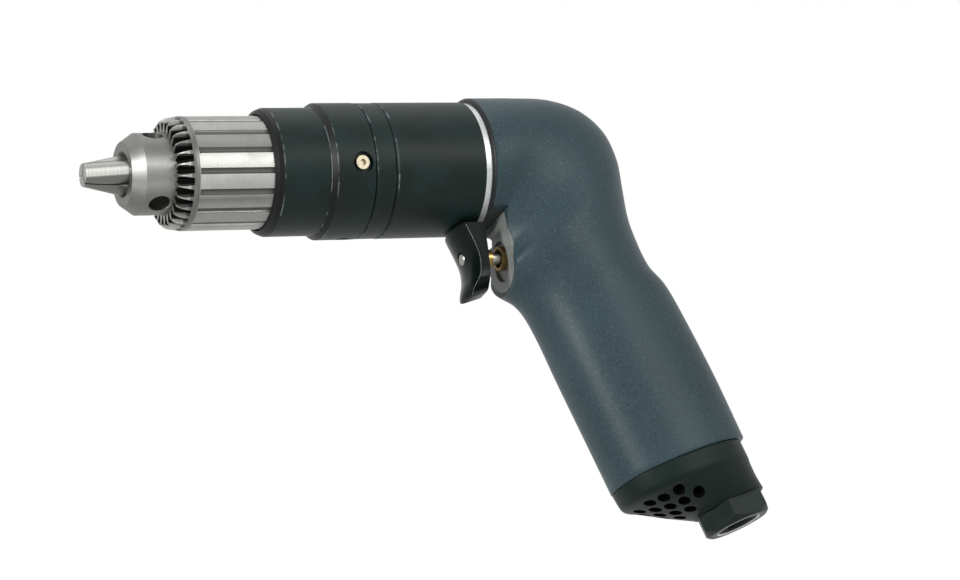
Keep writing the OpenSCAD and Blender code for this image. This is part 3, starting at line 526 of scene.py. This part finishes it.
def inlet_oxide(name, colours, centre, axis, bore_r, pitch):
    """Black oxide on steel, with a light line along the thread in the bore, and bare round the mouth."""
    tone = colours.oxide
    material, finish = surface(name)
    place = finish.place()
    x, y, z = finish.axes(place)
    along = (x - centre.x) * axis.x + (z - centre.z) * axis.z
    across = (x - centre.x) * -axis.z + (z - centre.z) * axis.x
    radius = (across * across + y * y) ** 0.5
    turn = y.math("ARCTAN2", y, across) / (2 * math.pi)
    ridge = ((along / pitch - turn).fraction() - 0.5).absolute()
    inside = finish.spread(radius, bore_r + 0.05 * MM, bore_r + 0.12 * MM, to_low=1, to_high=0)
    rim = finish.spread(radius, bore_r + 0.95 * MM, bore_r + 1.1 * MM)
    rim = rim * finish.spread(radius, bore_r + 1.55 * MM, bore_r + 1.42 * MM)
    mouth = rim * finish.spread(along, -1.3 * MM, -1.15 * MM)
    cloud = finish.noise(place, scale=240, detail=4, roughness=0.6)
    fine = finish.noise(place, scale=2600)
    base = finish.mix(finish.spread(cloud, low=0.35, high=0.7), scaled(tone, 0.7), scaled(tone, 1.5))
    bare = mouth * finish.spread(cloud, low=0.3, high=0.6, to_low=0.6, to_high=1.0)
    base = finish.mix(bare, base, colours.mouth)
    base = finish.mix(inside * ridge * 1.2, base, scaled(tone, 3.5))
    height = inside * ridge * 6.0 + fine * 0.15
    finish.close({"Specular IOR Level": 0.14}, Base_Color=base, Metallic=bare * 0.9,
                 Roughness=0.34 + cloud * 0.16, Normal=finish.bump(height, strength=0.5, distance=0.1 * MM))
    return material


def soft_matt(name, tone, scale=1200, gloss=0.3):
    """Rubber, felt, resin, painted hole shade or rough casting: a matt surface with a loose grain."""
    material, finish = surface(name)
    fibre = finish.noise(finish.place(), scale, detail=4, roughness=0.7)
    base = finish.mix(finish.spread(fibre, low=0.3, high=0.7), scaled(tone, 0.7), scaled(tone, 1.25))
    finish.close({"Specular IOR Level": gloss}, Base_Color=base, Roughness=0.7 + fibre * 0.2,
                 Normal=finish.bump(fibre, strength=0.4, distance=0.1 * MM))
    return material


def dress(material, *names):
    """Puts a finish on CAD nodes."""
    for name in names:
        mesh = NODES[name].data
        mesh.materials.clear()
        mesh.materials.append(material)


def soften(piece, degrees):
    """Smooth shading that keeps edges sharper than the angle."""
    piece.data.shade_smooth()
    piece.data.set_sharp_from_angle(angle=math.radians(degrees))


def new_piece(name, bm):
    """A linked object from a bmesh."""
    bmesh.ops.recalc_face_normals(bm, faces=bm.faces)
    mesh = bpy.data.meshes.new(name)
    bm.to_mesh(mesh)
    bm.free()
    piece = bpy.data.objects.new(name, mesh)
    bpy.context.scene.collection.objects.link(piece)
    return piece


def skin_rows(name, rows):
    """A closed skin through rows of equally many points."""
    bm = bmesh.new()
    made = [[bm.verts.new(point) for point in row] for row in rows]
    count = len(made[0])
    for low, high in zip(made, made[1:]):
        for k in range(count):
            bm.faces.new((low[k], low[(k + 1) % count], high[(k + 1) % count], high[k]))
    bm.faces.new(made[0])
    bm.faces.new(made[-1])
    return new_piece(name, bm)


def rod(start, end, radius, sides=96):
    """A cylinder between two points, as a cutter."""
    bm = bmesh.new()
    start, end = Vector(start), Vector(end)
    turn = (end - start).to_track_quat("Z", "X").to_matrix().to_4x4()
    bmesh.ops.create_cone(bm, cap_ends=True, segments=sides, radius1=radius, radius2=radius,
                          depth=(end - start).length, matrix=Matrix.Translation((start + end) / 2) @ turn)
    return new_piece("cutter", bm)


def block(low, high, turned=Matrix()):
    """A box between two corners, turned as a whole, as a cutter."""
    bm = bmesh.new()
    low, high = Vector(low), Vector(high)
    straight = Matrix.Translation((low + high) / 2) @ Matrix.Diagonal((*(high - low), 1))
    bmesh.ops.create_cube(bm, size=1, matrix=turned @ straight)
    return new_piece("cutter", bm)


def lined(material, *cutters):
    """Cutters that leave a finish of their own on the faces they cut."""
    for cutter in cutters:
        cutter.data.materials.append(material)
    return list(cutters)


def helix(name, centre, axis, base_r, height, pitch, start, end, steps=60):
    """A thread ridge that stands inward from the wall of a bore, from start to end below its mouth."""
    section = ((-0.42, 0), (-0.08, 1), (0.08, 1), (0.42, 0))
    side = Vector((0, 1, 0))
    other = axis.cross(side)
    count = int((end - start) / pitch * steps)
    rows = []
    for k in range(count + 1):
        turn = 2 * math.pi * k / steps
        out = side * math.cos(turn) + other * math.sin(turn)
        tall = height * min(1.0, k / steps, (count - k) / steps) + 0.01 * MM
        deep = start + k / steps * pitch
        rows.append([centre - axis * (deep + shift * pitch) + out * (base_r - share * tall)
                     for shift, share in section])
    return skin_rows(name, rows)


def settle(piece):
    """Applies the piece's modifiers."""
    bpy.context.view_layer.update()
    made = bpy.data.meshes.new_from_object(piece.evaluated_get(bpy.context.evaluated_depsgraph_get()))
    piece.modifiers.clear()
    piece.data = made


def carve(piece, cutters):
    """Cuts the cutters out of the piece and removes them."""
    for cutter in cutters:
        cut = piece.modifiers.new("cut", "BOOLEAN")
        cut.solver = "EXACT"
        cut.material_mode = "TRANSFER"
        cut.object = cutter
    settle(piece)
    for cutter in cutters:
        bpy.data.objects.remove(cutter)
    if len(piece.data.polygons) < 50:
        raise RuntimeError(f"{piece.name} was cut away")


def round_edges(piece, width, segments, degrees):
    """Rounds the edges that are sharper than the angle."""
    edge = piece.modifiers.new("edge", "BEVEL")
    edge.width = width
    edge.segments = segments
    edge.limit_method = "ANGLE"
    edge.angle_limit = math.radians(degrees)
    return edge


def power(value, exponent):
    """A cosine or sine for a ring that grows squarer with the exponent."""
    return math.copysign(abs(value) ** (2 / exponent), value)


def glide(rows, steps):
    """Rows between the given ones, on a smooth curve through them."""
    made = []
    last = len(rows) - 1
    for i in range(last):
        a, b, c, d = rows[max(i - 1, 0)], rows[i], rows[i + 1], rows[min(i + 2, last)]
        for k in range(steps):
            t = k / steps
            made.append([0.5 * (2 * q + (r - p) * t + (2 * p - 5 * q + 4 * r - s) * t * t
                                + (3 * q - p - 3 * r + s) * t ** 3)
                         for p, q, r, s in zip(a, b, c, d)])
    return made + [list(rows[last])]


def skin_ring(row, sides):
    """A ring from its front point, back point, half width, squareness and narrowing of the front."""
    fx, fz, bx, bz, half, square, narrow = row
    ring = []
    for k in range(sides):
        c = power(math.cos(2 * math.pi * k / sides), square)
        s = power(math.sin(2 * math.pi * k / sides), square)
        ring.append(((fx + bx) / 2 + (bx - fx) / 2 * c, half * s * (1 - narrow * (1 - c) / 2),
                     (fz + bz) / 2 + (bz - fz) / 2 * c))
    return ring


def grip_point(sizes, v, u):
    """Place in X and Z of a point u down the grip axis and v to the rear."""
    s, c = math.sin(sizes.rake), math.cos(sizes.rake)
    return GRIP_X + u * s + v * c, v * s - u * c


def on_grip(sizes, v, y, u):
    """Place of a point u down the grip axis, v to the rear and y across."""
    x, z = grip_point(sizes, v, u)
    return x, y, z


def grip_rod(sizes, v, y, start, end, radius, sides=96):
    """A cutter along the grip, between two distances from the grip's end."""
    total = sizes.grip_len
    return rod(on_grip(sizes, v, y, total + start), on_grip(sizes, v, y, total + end), radius, sides)


def grip_row(sizes, u, front, back, half, square):
    """A ring across the grip, with its front and back moved by the given amounts."""
    return [*grip_point(sizes, GRIP_MIDDLE - sizes.grip_depth / 2 + front, u),
            *grip_point(sizes, GRIP_MIDDLE + sizes.grip_depth / 2 + back, u), half, square, 0.0]


def bend_row(fx, fz, bx, bz, inset, narrow):
    """A ring where the barrel turns into the grip, in millimetres from the barrel's lower and upper lines."""
    return [HANDLE_X0 + fx * MM, fz * MM - HANDLE_R, HANDLE_X0 + bx * MM, bz * MM + HANDLE_R,
            HANDLE_R - inset * MM, 2.0, narrow]


def join_frame(piece, body, slot, *nodes):
    """Joins a new piece to the frame in place of the nodes."""
    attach(piece, body)
    if nodes:
        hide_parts(*nodes)


class DRILL_OT_handle(bpy.types.Operator):
    """Skins the handle: barrel end, bend and grip in one smooth form"""

    bl_idname = "drill.handle"
    bl_label = "Handle"

    def skin(self, sizes):
        half, total, square = sizes.grip_width / 2, sizes.grip_len, 2.2
        rows = [bend_row(back, inset, back, -inset, inset, 0) for back, inset in HANDLE_EDGE]
        middle = [bend_row(*row) for row in HANDLE_BEND]
        middle += [grip_row(sizes, total * share, 0, swell * MM, half, e) for share, swell, e in GRIP_SWELL]
        middle.append(grip_row(sizes, total - 0.5 * MM, 0, 0.3 * MM, half, square))
        rows += glide(middle, 8)
        rows.append(grip_row(sizes, total - 0.2 * MM, 0.1 * MM, 0.2 * MM, half - 0.1 * MM, square))
        rows.append(grip_row(sizes, total, 0.4 * MM, -0.1 * MM, half - 0.4 * MM, square))
        return skin_rows("handle_skin", [skin_ring(row, sizes.sides) for row in rows])

    def inner_cutters(self, sizes):
        """Seats and bores, and the notch of the trigger plate."""
        before = HANDLE_X0 - 10 * MM
        motor_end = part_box("rear_end_plate")[1].x + 0.1 * MM
        spring_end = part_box("valve_spring")[1].x + 0.1 * MM
        notch_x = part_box("trigger_plate")[1].x + 0.03 * MM
        notch_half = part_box("trigger_plate")[1].y + 0.2 * MM
        notch_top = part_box("trigger_plate")[1].z + 0.3 * MM
        notch_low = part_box("trigger_plate")[0].z + notch_half - 0.2 * MM
        return (rod((before, 0, 0), (HANDLE_X0 + sizes.seat_depth, 0, 0), sizes.seat_r),
                rod((HANDLE_X0, 0, 0), (motor_end, 0, 0), sizes.motor_r),
                block((before, -notch_half, notch_low), (notch_x, notch_half, notch_top)),
                rod((before, 0, notch_low), (notch_x, 0, notch_low), notch_half),
                rod((notch_x - MM, 0, PLUNGER_Z), (spring_end, 0, PLUNGER_Z), sizes.valve_r),
                grip_rod(sizes, sizes.inlet_v, 0, -10 * MM, 10 * MM, sizes.inlet_seat_r),
                grip_rod(sizes, sizes.chamber_v, 0, -36 * MM, 4 * MM, sizes.chamber_r))

    def outer_cutters(self, sizes):
        """The flat behind the trigger, and the groove past the far edge of its plate."""
        before = HANDLE_X0 - 10 * MM
        flat_x = PLATE_X + 0.1 * MM
        flat_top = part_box("trigger_plate")[1].z + 0.3 * MM
        past_side, past_end = 40 * MM, 80 * MM
        relief = (Matrix.Translation((flat_x, 7 * MM, -22.5 * MM))
                  @ Matrix.Rotation(sizes.relief_turn, 4, "Z") @ Matrix.Rotation(sizes.relief_tilt, 4, "Y"))
        radius, near, far = sizes.relief_r, -3.6 * MM, 26.4 * MM
        return (block((before, -past_side, -past_end), (flat_x, past_side, flat_top)),
                rod(relief @ Vector((0, 0, near)), relief @ Vector((0, 0, far)), radius),
                block((-radius, 0, near), (radius, 20 * MM, far), relief))

    def execute(self, context):
        sizes, colours = context.scene.drill_sizes, context.scene.drill_colours
        coat = handle_coat("blue_grey_coat", colours, HANDLE_X0)
        bare = soft_matt("bare_casting", colours.casting, scale=1500)
        piece = self.skin(sizes)
        piece.data.materials.append(coat)
        carve(piece, lined(bare, *self.inner_cutters(sizes)) + lined(coat, *self.outer_cutters(sizes)))
        soften(piece, 40)
        join_frame(piece, "housing", "handle_coat", "handle")
        return {"FINISHED"}


class DRILL_OT_base_cap(bpy.types.Operator):
    """Skins the base cap with its exhaust holes"""

    bl_idname = "drill.base_cap"
    bl_label = "Base cap"

    def skin(self, sizes):
        half, total = sizes.grip_width / 2, sizes.grip_len
        rows = [grip_row(sizes, total + u * MM, front * MM, back * MM, half - inset * MM, square)
                for u, front, back, inset, square in CAP_STATIONS]
        end, edge = total + sizes.cap_drop, 0.3 * MM
        for u, r in ((end - edge, sizes.collar_r), (end, sizes.collar_r - edge)):
            front, back = (grip_point(sizes, sizes.inlet_v + v, u) for v in (-r, r))
            rows.append([*front, *back, r, 2.0, 0.0])
        rows = rows[:1] + glide(rows[1:-1], 7) + rows[-1:]
        return skin_rows("base_cap_skin", [skin_ring(row, sizes.sides) for row in rows])

    def execute(self, context):
        sizes, colours = context.scene.drill_sizes, context.scene.drill_colours
        piece = self.skin(sizes)
        piece.data.materials.append(moulded("satin_cap", colours.cap, rough=0.36, grain=0.12, gloss=0.15))
        cutters = [grip_rod(sizes, sizes.inlet_v, 0, -MM, 30 * MM, sizes.inlet_seat_r)]
        for k in range(-3, 4):
            even, outer = k % 2 == 0, abs(k) == 3
            shift = 0.5 if even else 0.1 if outer else 0.0
            for j in range(1 if outer else 0, 2 if even else 3):
                v = sizes.exhaust_v + sizes.exhaust_step * (j + shift)
                cutters.append(grip_rod(sizes, v, k * sizes.exhaust_pitch, -MM, 28 * MM, sizes.exhaust_r, 40))
        # painted shade: the faces cut by the holes and the inlet seat are lined near black
        carve(piece, lined(soft_matt("painted_shade_hole", colours.painted_hole_shade, gloss=0.02), *cutters))
        soften(piece, 40)
        join_frame(piece, "housing", "cap_black", "base_cap")
        return {"FINISHED"}


class DRILL_OT_trigger(bpy.types.Operator):
    """Skins the trigger with its crowned front and rounded edges"""

    bl_idname = "drill.trigger"
    bl_label = "Trigger"

    def skin(self, sizes, front):
        wide, crown, thin, points = sizes.trigger_w / 2, sizes.trigger_crown, 0.4 * MM, 24
        rows = glide([(-CASE_R - drop * MM, front + near * MM, front + far * MM, wide - draw * MM, lift * MM)
                      for drop, near, far, draw, lift in TRIGGER_STATIONS], 5)
        rings = []
        for z, near, far, half, lift in rows:
            ring = []
            for k in range(points + 1):
                y = half * (2 * k / points - 1)
                ring.append((min(near + crown - math.sqrt(crown * crown - y * y), far - thin), y, z))
            rings.append(ring + [(far, half, z + lift), (far, 0, z + lift), (far, -half, z + lift)])
        return skin_rows("trigger_skin", rings)

    def execute(self, context):
        sizes, colours = context.scene.drill_sizes, context.scene.drill_colours
        front = PLUNGER_LOW.x - 0.1 * MM
        piece = self.skin(sizes, front)
        gloss = moulded("gloss_trigger", colours.trigger, rough=0.12, grain=0.05, gloss=0.09)
        piece.data.materials.append(gloss)
        # painted highlight: the rounded edges get a pale moulding that stands in for the light along them
        piece.data.materials.append(moulded("painted_edge_highlight", colours.highlight_and_wear, rough=0.3, grain=0.1))
        round_edges(piece, sizes.trigger_edge, segments=4, degrees=38).material = 1
        settle(piece)
        # only the edges round the front keep the painted highlight
        painted_highlight_to, painted_highlight_top = front + 3.6 * MM, -CASE_R - 1.2 * MM
        for face in piece.data.polygons:
            if face.center.x > painted_highlight_to or face.center.z > painted_highlight_top:
                face.material_index = 0
        hole = rod((front - 5 * MM, 0, PLUNGER_Z), (front + 20 * MM, 0, PLUNGER_Z), PLUNGER_R + 0.2 * MM, 48)
        carve(piece, [hole])
        soften(piece, 50)
        join_frame(piece, "trigger", "trigger_black", "trigger")
        return {"FINISHED"}


class DRILL_OT_chuck(bpy.types.Operator):
    """Finishes the chuck: turned nose, fluted sleeve and ground jaws"""

    bl_idname = "drill.chuck"
    bl_label = "Chuck"

    def execute(self, context):
        steel = context.scene.drill_colours.steel
        front_x, sleeve_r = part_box("chuck_sleeve")[0].x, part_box("chuck_sleeve")[1].z
        sleeve = (front_x, front_x + 5.5 * MM, sleeve_r)
        # painted reflection on nose, sleeve and jaws; painted shade in the sleeve's flutes and gear gaps and
        # on the jaws' lower sides
        dress(turned_steel("nose_steel", steel, rough=0.36, painted_reflection=PAINTED_SATIN_REFLECTION), "chuck_body")
        dress(turned_steel("sleeve_steel", scaled(steel, 1.92), rough=0.3, sleeve=sleeve, painted_reflection=PAINTED_POLISHED_REFLECTION),
              "chuck_sleeve")
        dress(ground_steel("jaw_steel", scaled(steel, 2.5), painted_reflection=PAINTED_GROUND_REFLECTION, painted_under_shade=0.2),
              "chuck_jaw_1", "chuck_jaw_2", "chuck_jaw_3")
        return {"FINISHED"}


class DRILL_OT_barrel(bpy.types.Operator):
    """Finishes the barrel: black housings, light ring and grease nipple"""

    bl_idname = "drill.barrel"
    bl_label = "Barrel"

    def execute(self, context):
        colours = context.scene.drill_colours
        gear_x0, gear_x1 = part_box("gear_housing")[0].x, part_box("gear_housing")[1].x
        lock_x0, lock_x1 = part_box("lock_ring")[0].x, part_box("lock_ring")[1].x
        cap_x0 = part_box("front_cap")[0].x
        cap_bevel = (cap_x0 - MM, cap_x0 + 2.3 * MM)
        gear_bevel = (gear_x0, gear_x0 + 1.7 * MM)
        gear_edges = (gear_x0, gear_x0 + 1.75 * MM, gear_x1)
        dress(black_coat("front_cap_black", colours, (cap_x0 + 2.4 * MM,), cap_bevel), "front_cap")
        dress(black_coat("gear_case_black", colours, gear_edges, gear_bevel), "gear_housing")
        dress(black_coat("lock_ring_black", colours, (lock_x0 + 0.3 * MM, lock_x1)), "lock_ring")
        dress(black_coat("motor_case_black", colours, (CASE_X0 + 0.6 * MM,)), "motor_housing")
        dress(bright_metal("ring_alloy", colours.alloy, rough=0.3), "light_ring")
        dress(bright_metal("pale_nickel", colours.nickel, rough=0.26), "grease_nipple")
        for name, width in (("light_ring", 0.4), ("lock_ring", 0.2)):
            round_edges(NODES[name], width * MM, segments=3, degrees=40)
        return {"FINISHED"}


class DRILL_OT_small_parts(bpy.types.Operator):
    """Finishes the trigger plate, plunger, valve and air inlet"""

    bl_idname = "drill.small_parts"
    bl_label = "Trigger plate and inlet"

    def execute(self, context):
        sizes, colours = context.scene.drill_sizes, context.scene.drill_colours
        steel, brass = colours.steel, colours.brass
        dress(moulded("plate_grey", colours.plate, rough=0.24, grain=0.4), "trigger_plate")
        round_edges(NODES["trigger_plate"], 0.25 * MM, segments=3, degrees=40)
        dull_to = PLUNGER_LOW.x + 0.5 * MM
        # painted reflection along the plunger
        plunger = ground_steel("plunger_steel", scaled(steel, 2.8), painted_reflection=PAINTED_DRAWN_REFLECTION, dull_to=dull_to)
        dress(plunger, "trigger_plunger")
        dress(bright_metal("turned_brass", scaled(brass, 0.7), rough=0.2), "plunger_collar")
        dress(bright_metal("dull_brass", scaled(brass, 0.45), rough=0.4), "valve_body")
        centre = Vector(on_grip(sizes, sizes.inlet_v, 0, sizes.grip_len + sizes.mouth_drop))
        axis = Vector((math.sin(sizes.rake), 0, -math.cos(sizes.rake)))
        oxide = inlet_oxide("inlet_oxide", colours, centre, axis, sizes.bore_r, sizes.thread_pitch)
        dress(oxide, "inlet_bushing")
        thread = helix("inlet_thread", centre, axis, sizes.bore_r + 0.03 * MM, sizes.thread_height,
                       sizes.thread_pitch, start=1.3 * MM, end=12 * MM)
        thread.data.materials.append(moulded("thread_black", colours.thread, rough=0.3, grain=0.1, gloss=0.3))
        soften(thread, 60)
        join_frame(thread, "housing", "bushing_oxide")
        dress(soft_matt("seal_rubber", colours.rubber, scale=900), "inlet_seal", "valve_disc")
        dress(ground_steel("screen_steel", scaled(steel, 0.8), axis=2), "inlet_screen")
        return {"FINISHED"}


class DRILL_OT_inner_parts(bpy.types.Operator):
    """Finishes the gears, bearings, motor, silencer and valve spring inside the housings"""

    bl_idname = "drill.inner_parts"
    bl_label = "Inner parts"

    def execute(self, context):
        colours = context.scene.drill_colours
        steel = colours.steel
        places = ("spindle_front", "spindle_rear", "rotor_front", "rotor_rear")
        bearings = [f"{place}_{piece}" for place in places for piece in ("outer", "inner", "balls")]
        dress(turned_steel("bearing_steel", scaled(steel, 1.1), rough=0.14), *bearings)
        dress(turned_steel("inner_steel", scaled(steel, 0.9), rough=0.3),
              "chuck_nut", "spindle", "carrier_ring", "planet_pins", "bearing_plate")
        dress(turned_steel("gear_steel", scaled(steel, 0.75), rough=0.28),
              "planet_gear_1", "planet_gear_2", "planet_gear_3", "ring_gear")
        dress(turned_steel("motor_steel", scaled(steel, 0.95), rough=0.34),
              "front_end_plate", "motor_cylinder", "rotor", "rear_end_plate")
        dress(soft_matt("vane_resin", colours.resin, scale=700), *[f"vane_{k}" for k in range(1, 6)])
        dress(soft_matt("silencer_felt", colours.felt, scale=1600), "silencer")
        dress(ground_steel("spring_steel", steel), "valve_spring")
        return {"FINISHED"}


class DRILL_OT_stage(bpy.types.Operator):
    """Builds the floor, the light and the camera"""

    bl_idname = "drill.stage"
    bl_label = "Stage"

    def add_floor(self):
        """A pale floor that is clear from below and in reflections."""
        material, finish = surface("pale_floor")
        cloud = finish.noise(finish.place(), scale=3)
        tone = finish.mix(cloud, (0.80, 0.80, 0.80), (0.84, 0.84, 0.84))
        pale = finish.node("ShaderNodeBsdfDiffuse", None, {"Color": tone})
        clear = finish.node("ShaderNodeBsdfTransparent")
        path = finish.node("ShaderNodeLightPath")
        below = finish.node("ShaderNodeNewGeometry")["Backfacing"]
        through = (below + path["Is Glossy Ray"] + path["Is Transmission Ray"]).capped()
        both = finish.node("ShaderNodeMixShader", None, {0: through, 1: pale[0], 2: clear[0]})
        finish.node("ShaderNodeOutputMaterial", None, {"Surface": both[0]})
        bm = bmesh.new()
        bmesh.ops.create_circle(bm, cap_ends=True, segments=96, radius=FLOOR_R,
                                matrix=Matrix.Translation((0.1, 0, CAD_BOX[0][2] - FLOOR_GAP)))
        floor = new_piece("floor", bm)
        if floor.data.polygons[0].normal.z < 0:
            floor.data.flip_normals()
        floor.data.materials.append(material)

    def add_world(self, scene):
        """Soft light from all round, seen as white."""
        scene.world = bpy.data.worlds.new("studio")
        scene.world.use_nodes = True
        sky = Finish(scene.world.node_tree)
        path = sky.node("ShaderNodeLightPath")
        seen = (path["Is Camera Ray"] + path["Is Glossy Ray"] + path["Is Transmission Ray"]).capped()
        soft = sky.node("ShaderNodeBackground", None, {"Color": (0.98, 0.99, 1.0), "Strength": 0.34})
        white = sky.node("ShaderNodeBackground", None, {"Color": (1, 1, 1), "Strength": 1.0})
        shown = sky.node("ShaderNodeMixShader", None, {0: seen, 1: soft[0], 2: white[0]})
        sky.node("ShaderNodeOutputWorld", None, {"Surface": shown[0]})

    def add_lamps(self, scene):
        for name, (toward, away, size, watts) in LAMPS.items():
            data = bpy.data.lights.new(name, "AREA")
            data.size = size
            data.energy = watts
            lamp = bpy.data.objects.new(name, data)
            scene.collection.objects.link(lamp)
            toward = Vector(toward).normalized()
            lamp.location = LAMP_AIM + toward * away
            lamp.rotation_mode = "QUATERNION"
            lamp.rotation_quaternion = toward.to_track_quat("Z", "Y")

    def add_camera(self, scene):
        azimuth, rise, roll = (math.radians(degrees) for degrees in CAMERA_ANGLES)
        level = Vector((math.cos(azimuth), math.sin(azimuth), 0))
        run = math.cos(rise)
        back = Vector((math.sin(azimuth) * run, -math.cos(azimuth) * run, math.sin(rise)))
        upright = back.cross(level)
        right = level * math.cos(roll) + upright * math.sin(roll)
        up = upright * math.cos(roll) - level * math.sin(roll)
        data = bpy.data.cameras.new("camera")
        data.lens = CAMERA_LENS
        data.sensor_width = CAMERA_SENSOR
        data.clip_start, data.clip_end = 0.05, 20
        camera = bpy.data.objects.new("camera", data)
        scene.collection.objects.link(camera)
        turn = Matrix((right, up, back)).transposed().to_4x4()
        camera.matrix_world = Matrix.Translation(CAMERA_TARGET + back * CAMERA_AWAY) @ turn
        scene.camera = camera

    def execute(self, context):
        scene = context.scene
        scene.view_settings.view_transform = "Standard"
        self.add_floor()
        self.add_world(scene)
        self.add_lamps(scene)
        self.add_camera(scene)
        return {"FINISHED"}


STEPS = (DRILL_OT_handle, DRILL_OT_base_cap, DRILL_OT_trigger, DRILL_OT_chuck, DRILL_OT_barrel,
         DRILL_OT_small_parts, DRILL_OT_inner_parts, DRILL_OT_stage)


class VIEW3D_PT_drill(bpy.types.Panel):
    """Sizes, colours and steps of the air drill"""

    bl_idname = "VIEW3D_PT_drill"
    bl_label = "Air drill"
    bl_space_type = "VIEW_3D"
    bl_region_type = "UI"
    bl_category = "Air drill"

    def draw(self, context):
        for group in (context.scene.drill_sizes, context.scene.drill_colours):
            box = self.layout.box()
            for key in group.__annotations__:
                box.prop(group, key)
        for step in STEPS:
            self.layout.operator(step.bl_idname)


CLASSES = (DrillSizes, DrillColours, *STEPS, VIEW3D_PT_drill)


def register():
    for cls in CLASSES:
        bpy.utils.register_class(cls)
    bpy.types.Scene.drill_sizes = PointerProperty(type=DrillSizes)
    bpy.types.Scene.drill_colours = PointerProperty(type=DrillColours)


def unregister():
    del bpy.types.Scene.drill_colours
    del bpy.types.Scene.drill_sizes
    for cls in reversed(CLASSES):
        bpy.utils.unregister_class(cls)


def main():
    register()
    for step in STEPS:
        group, name = step.bl_idname.split(".")
        getattr(getattr(bpy.ops, group), name)()
    bpy.context.view_layer.update()


if __name__ == "__main__":
    main()
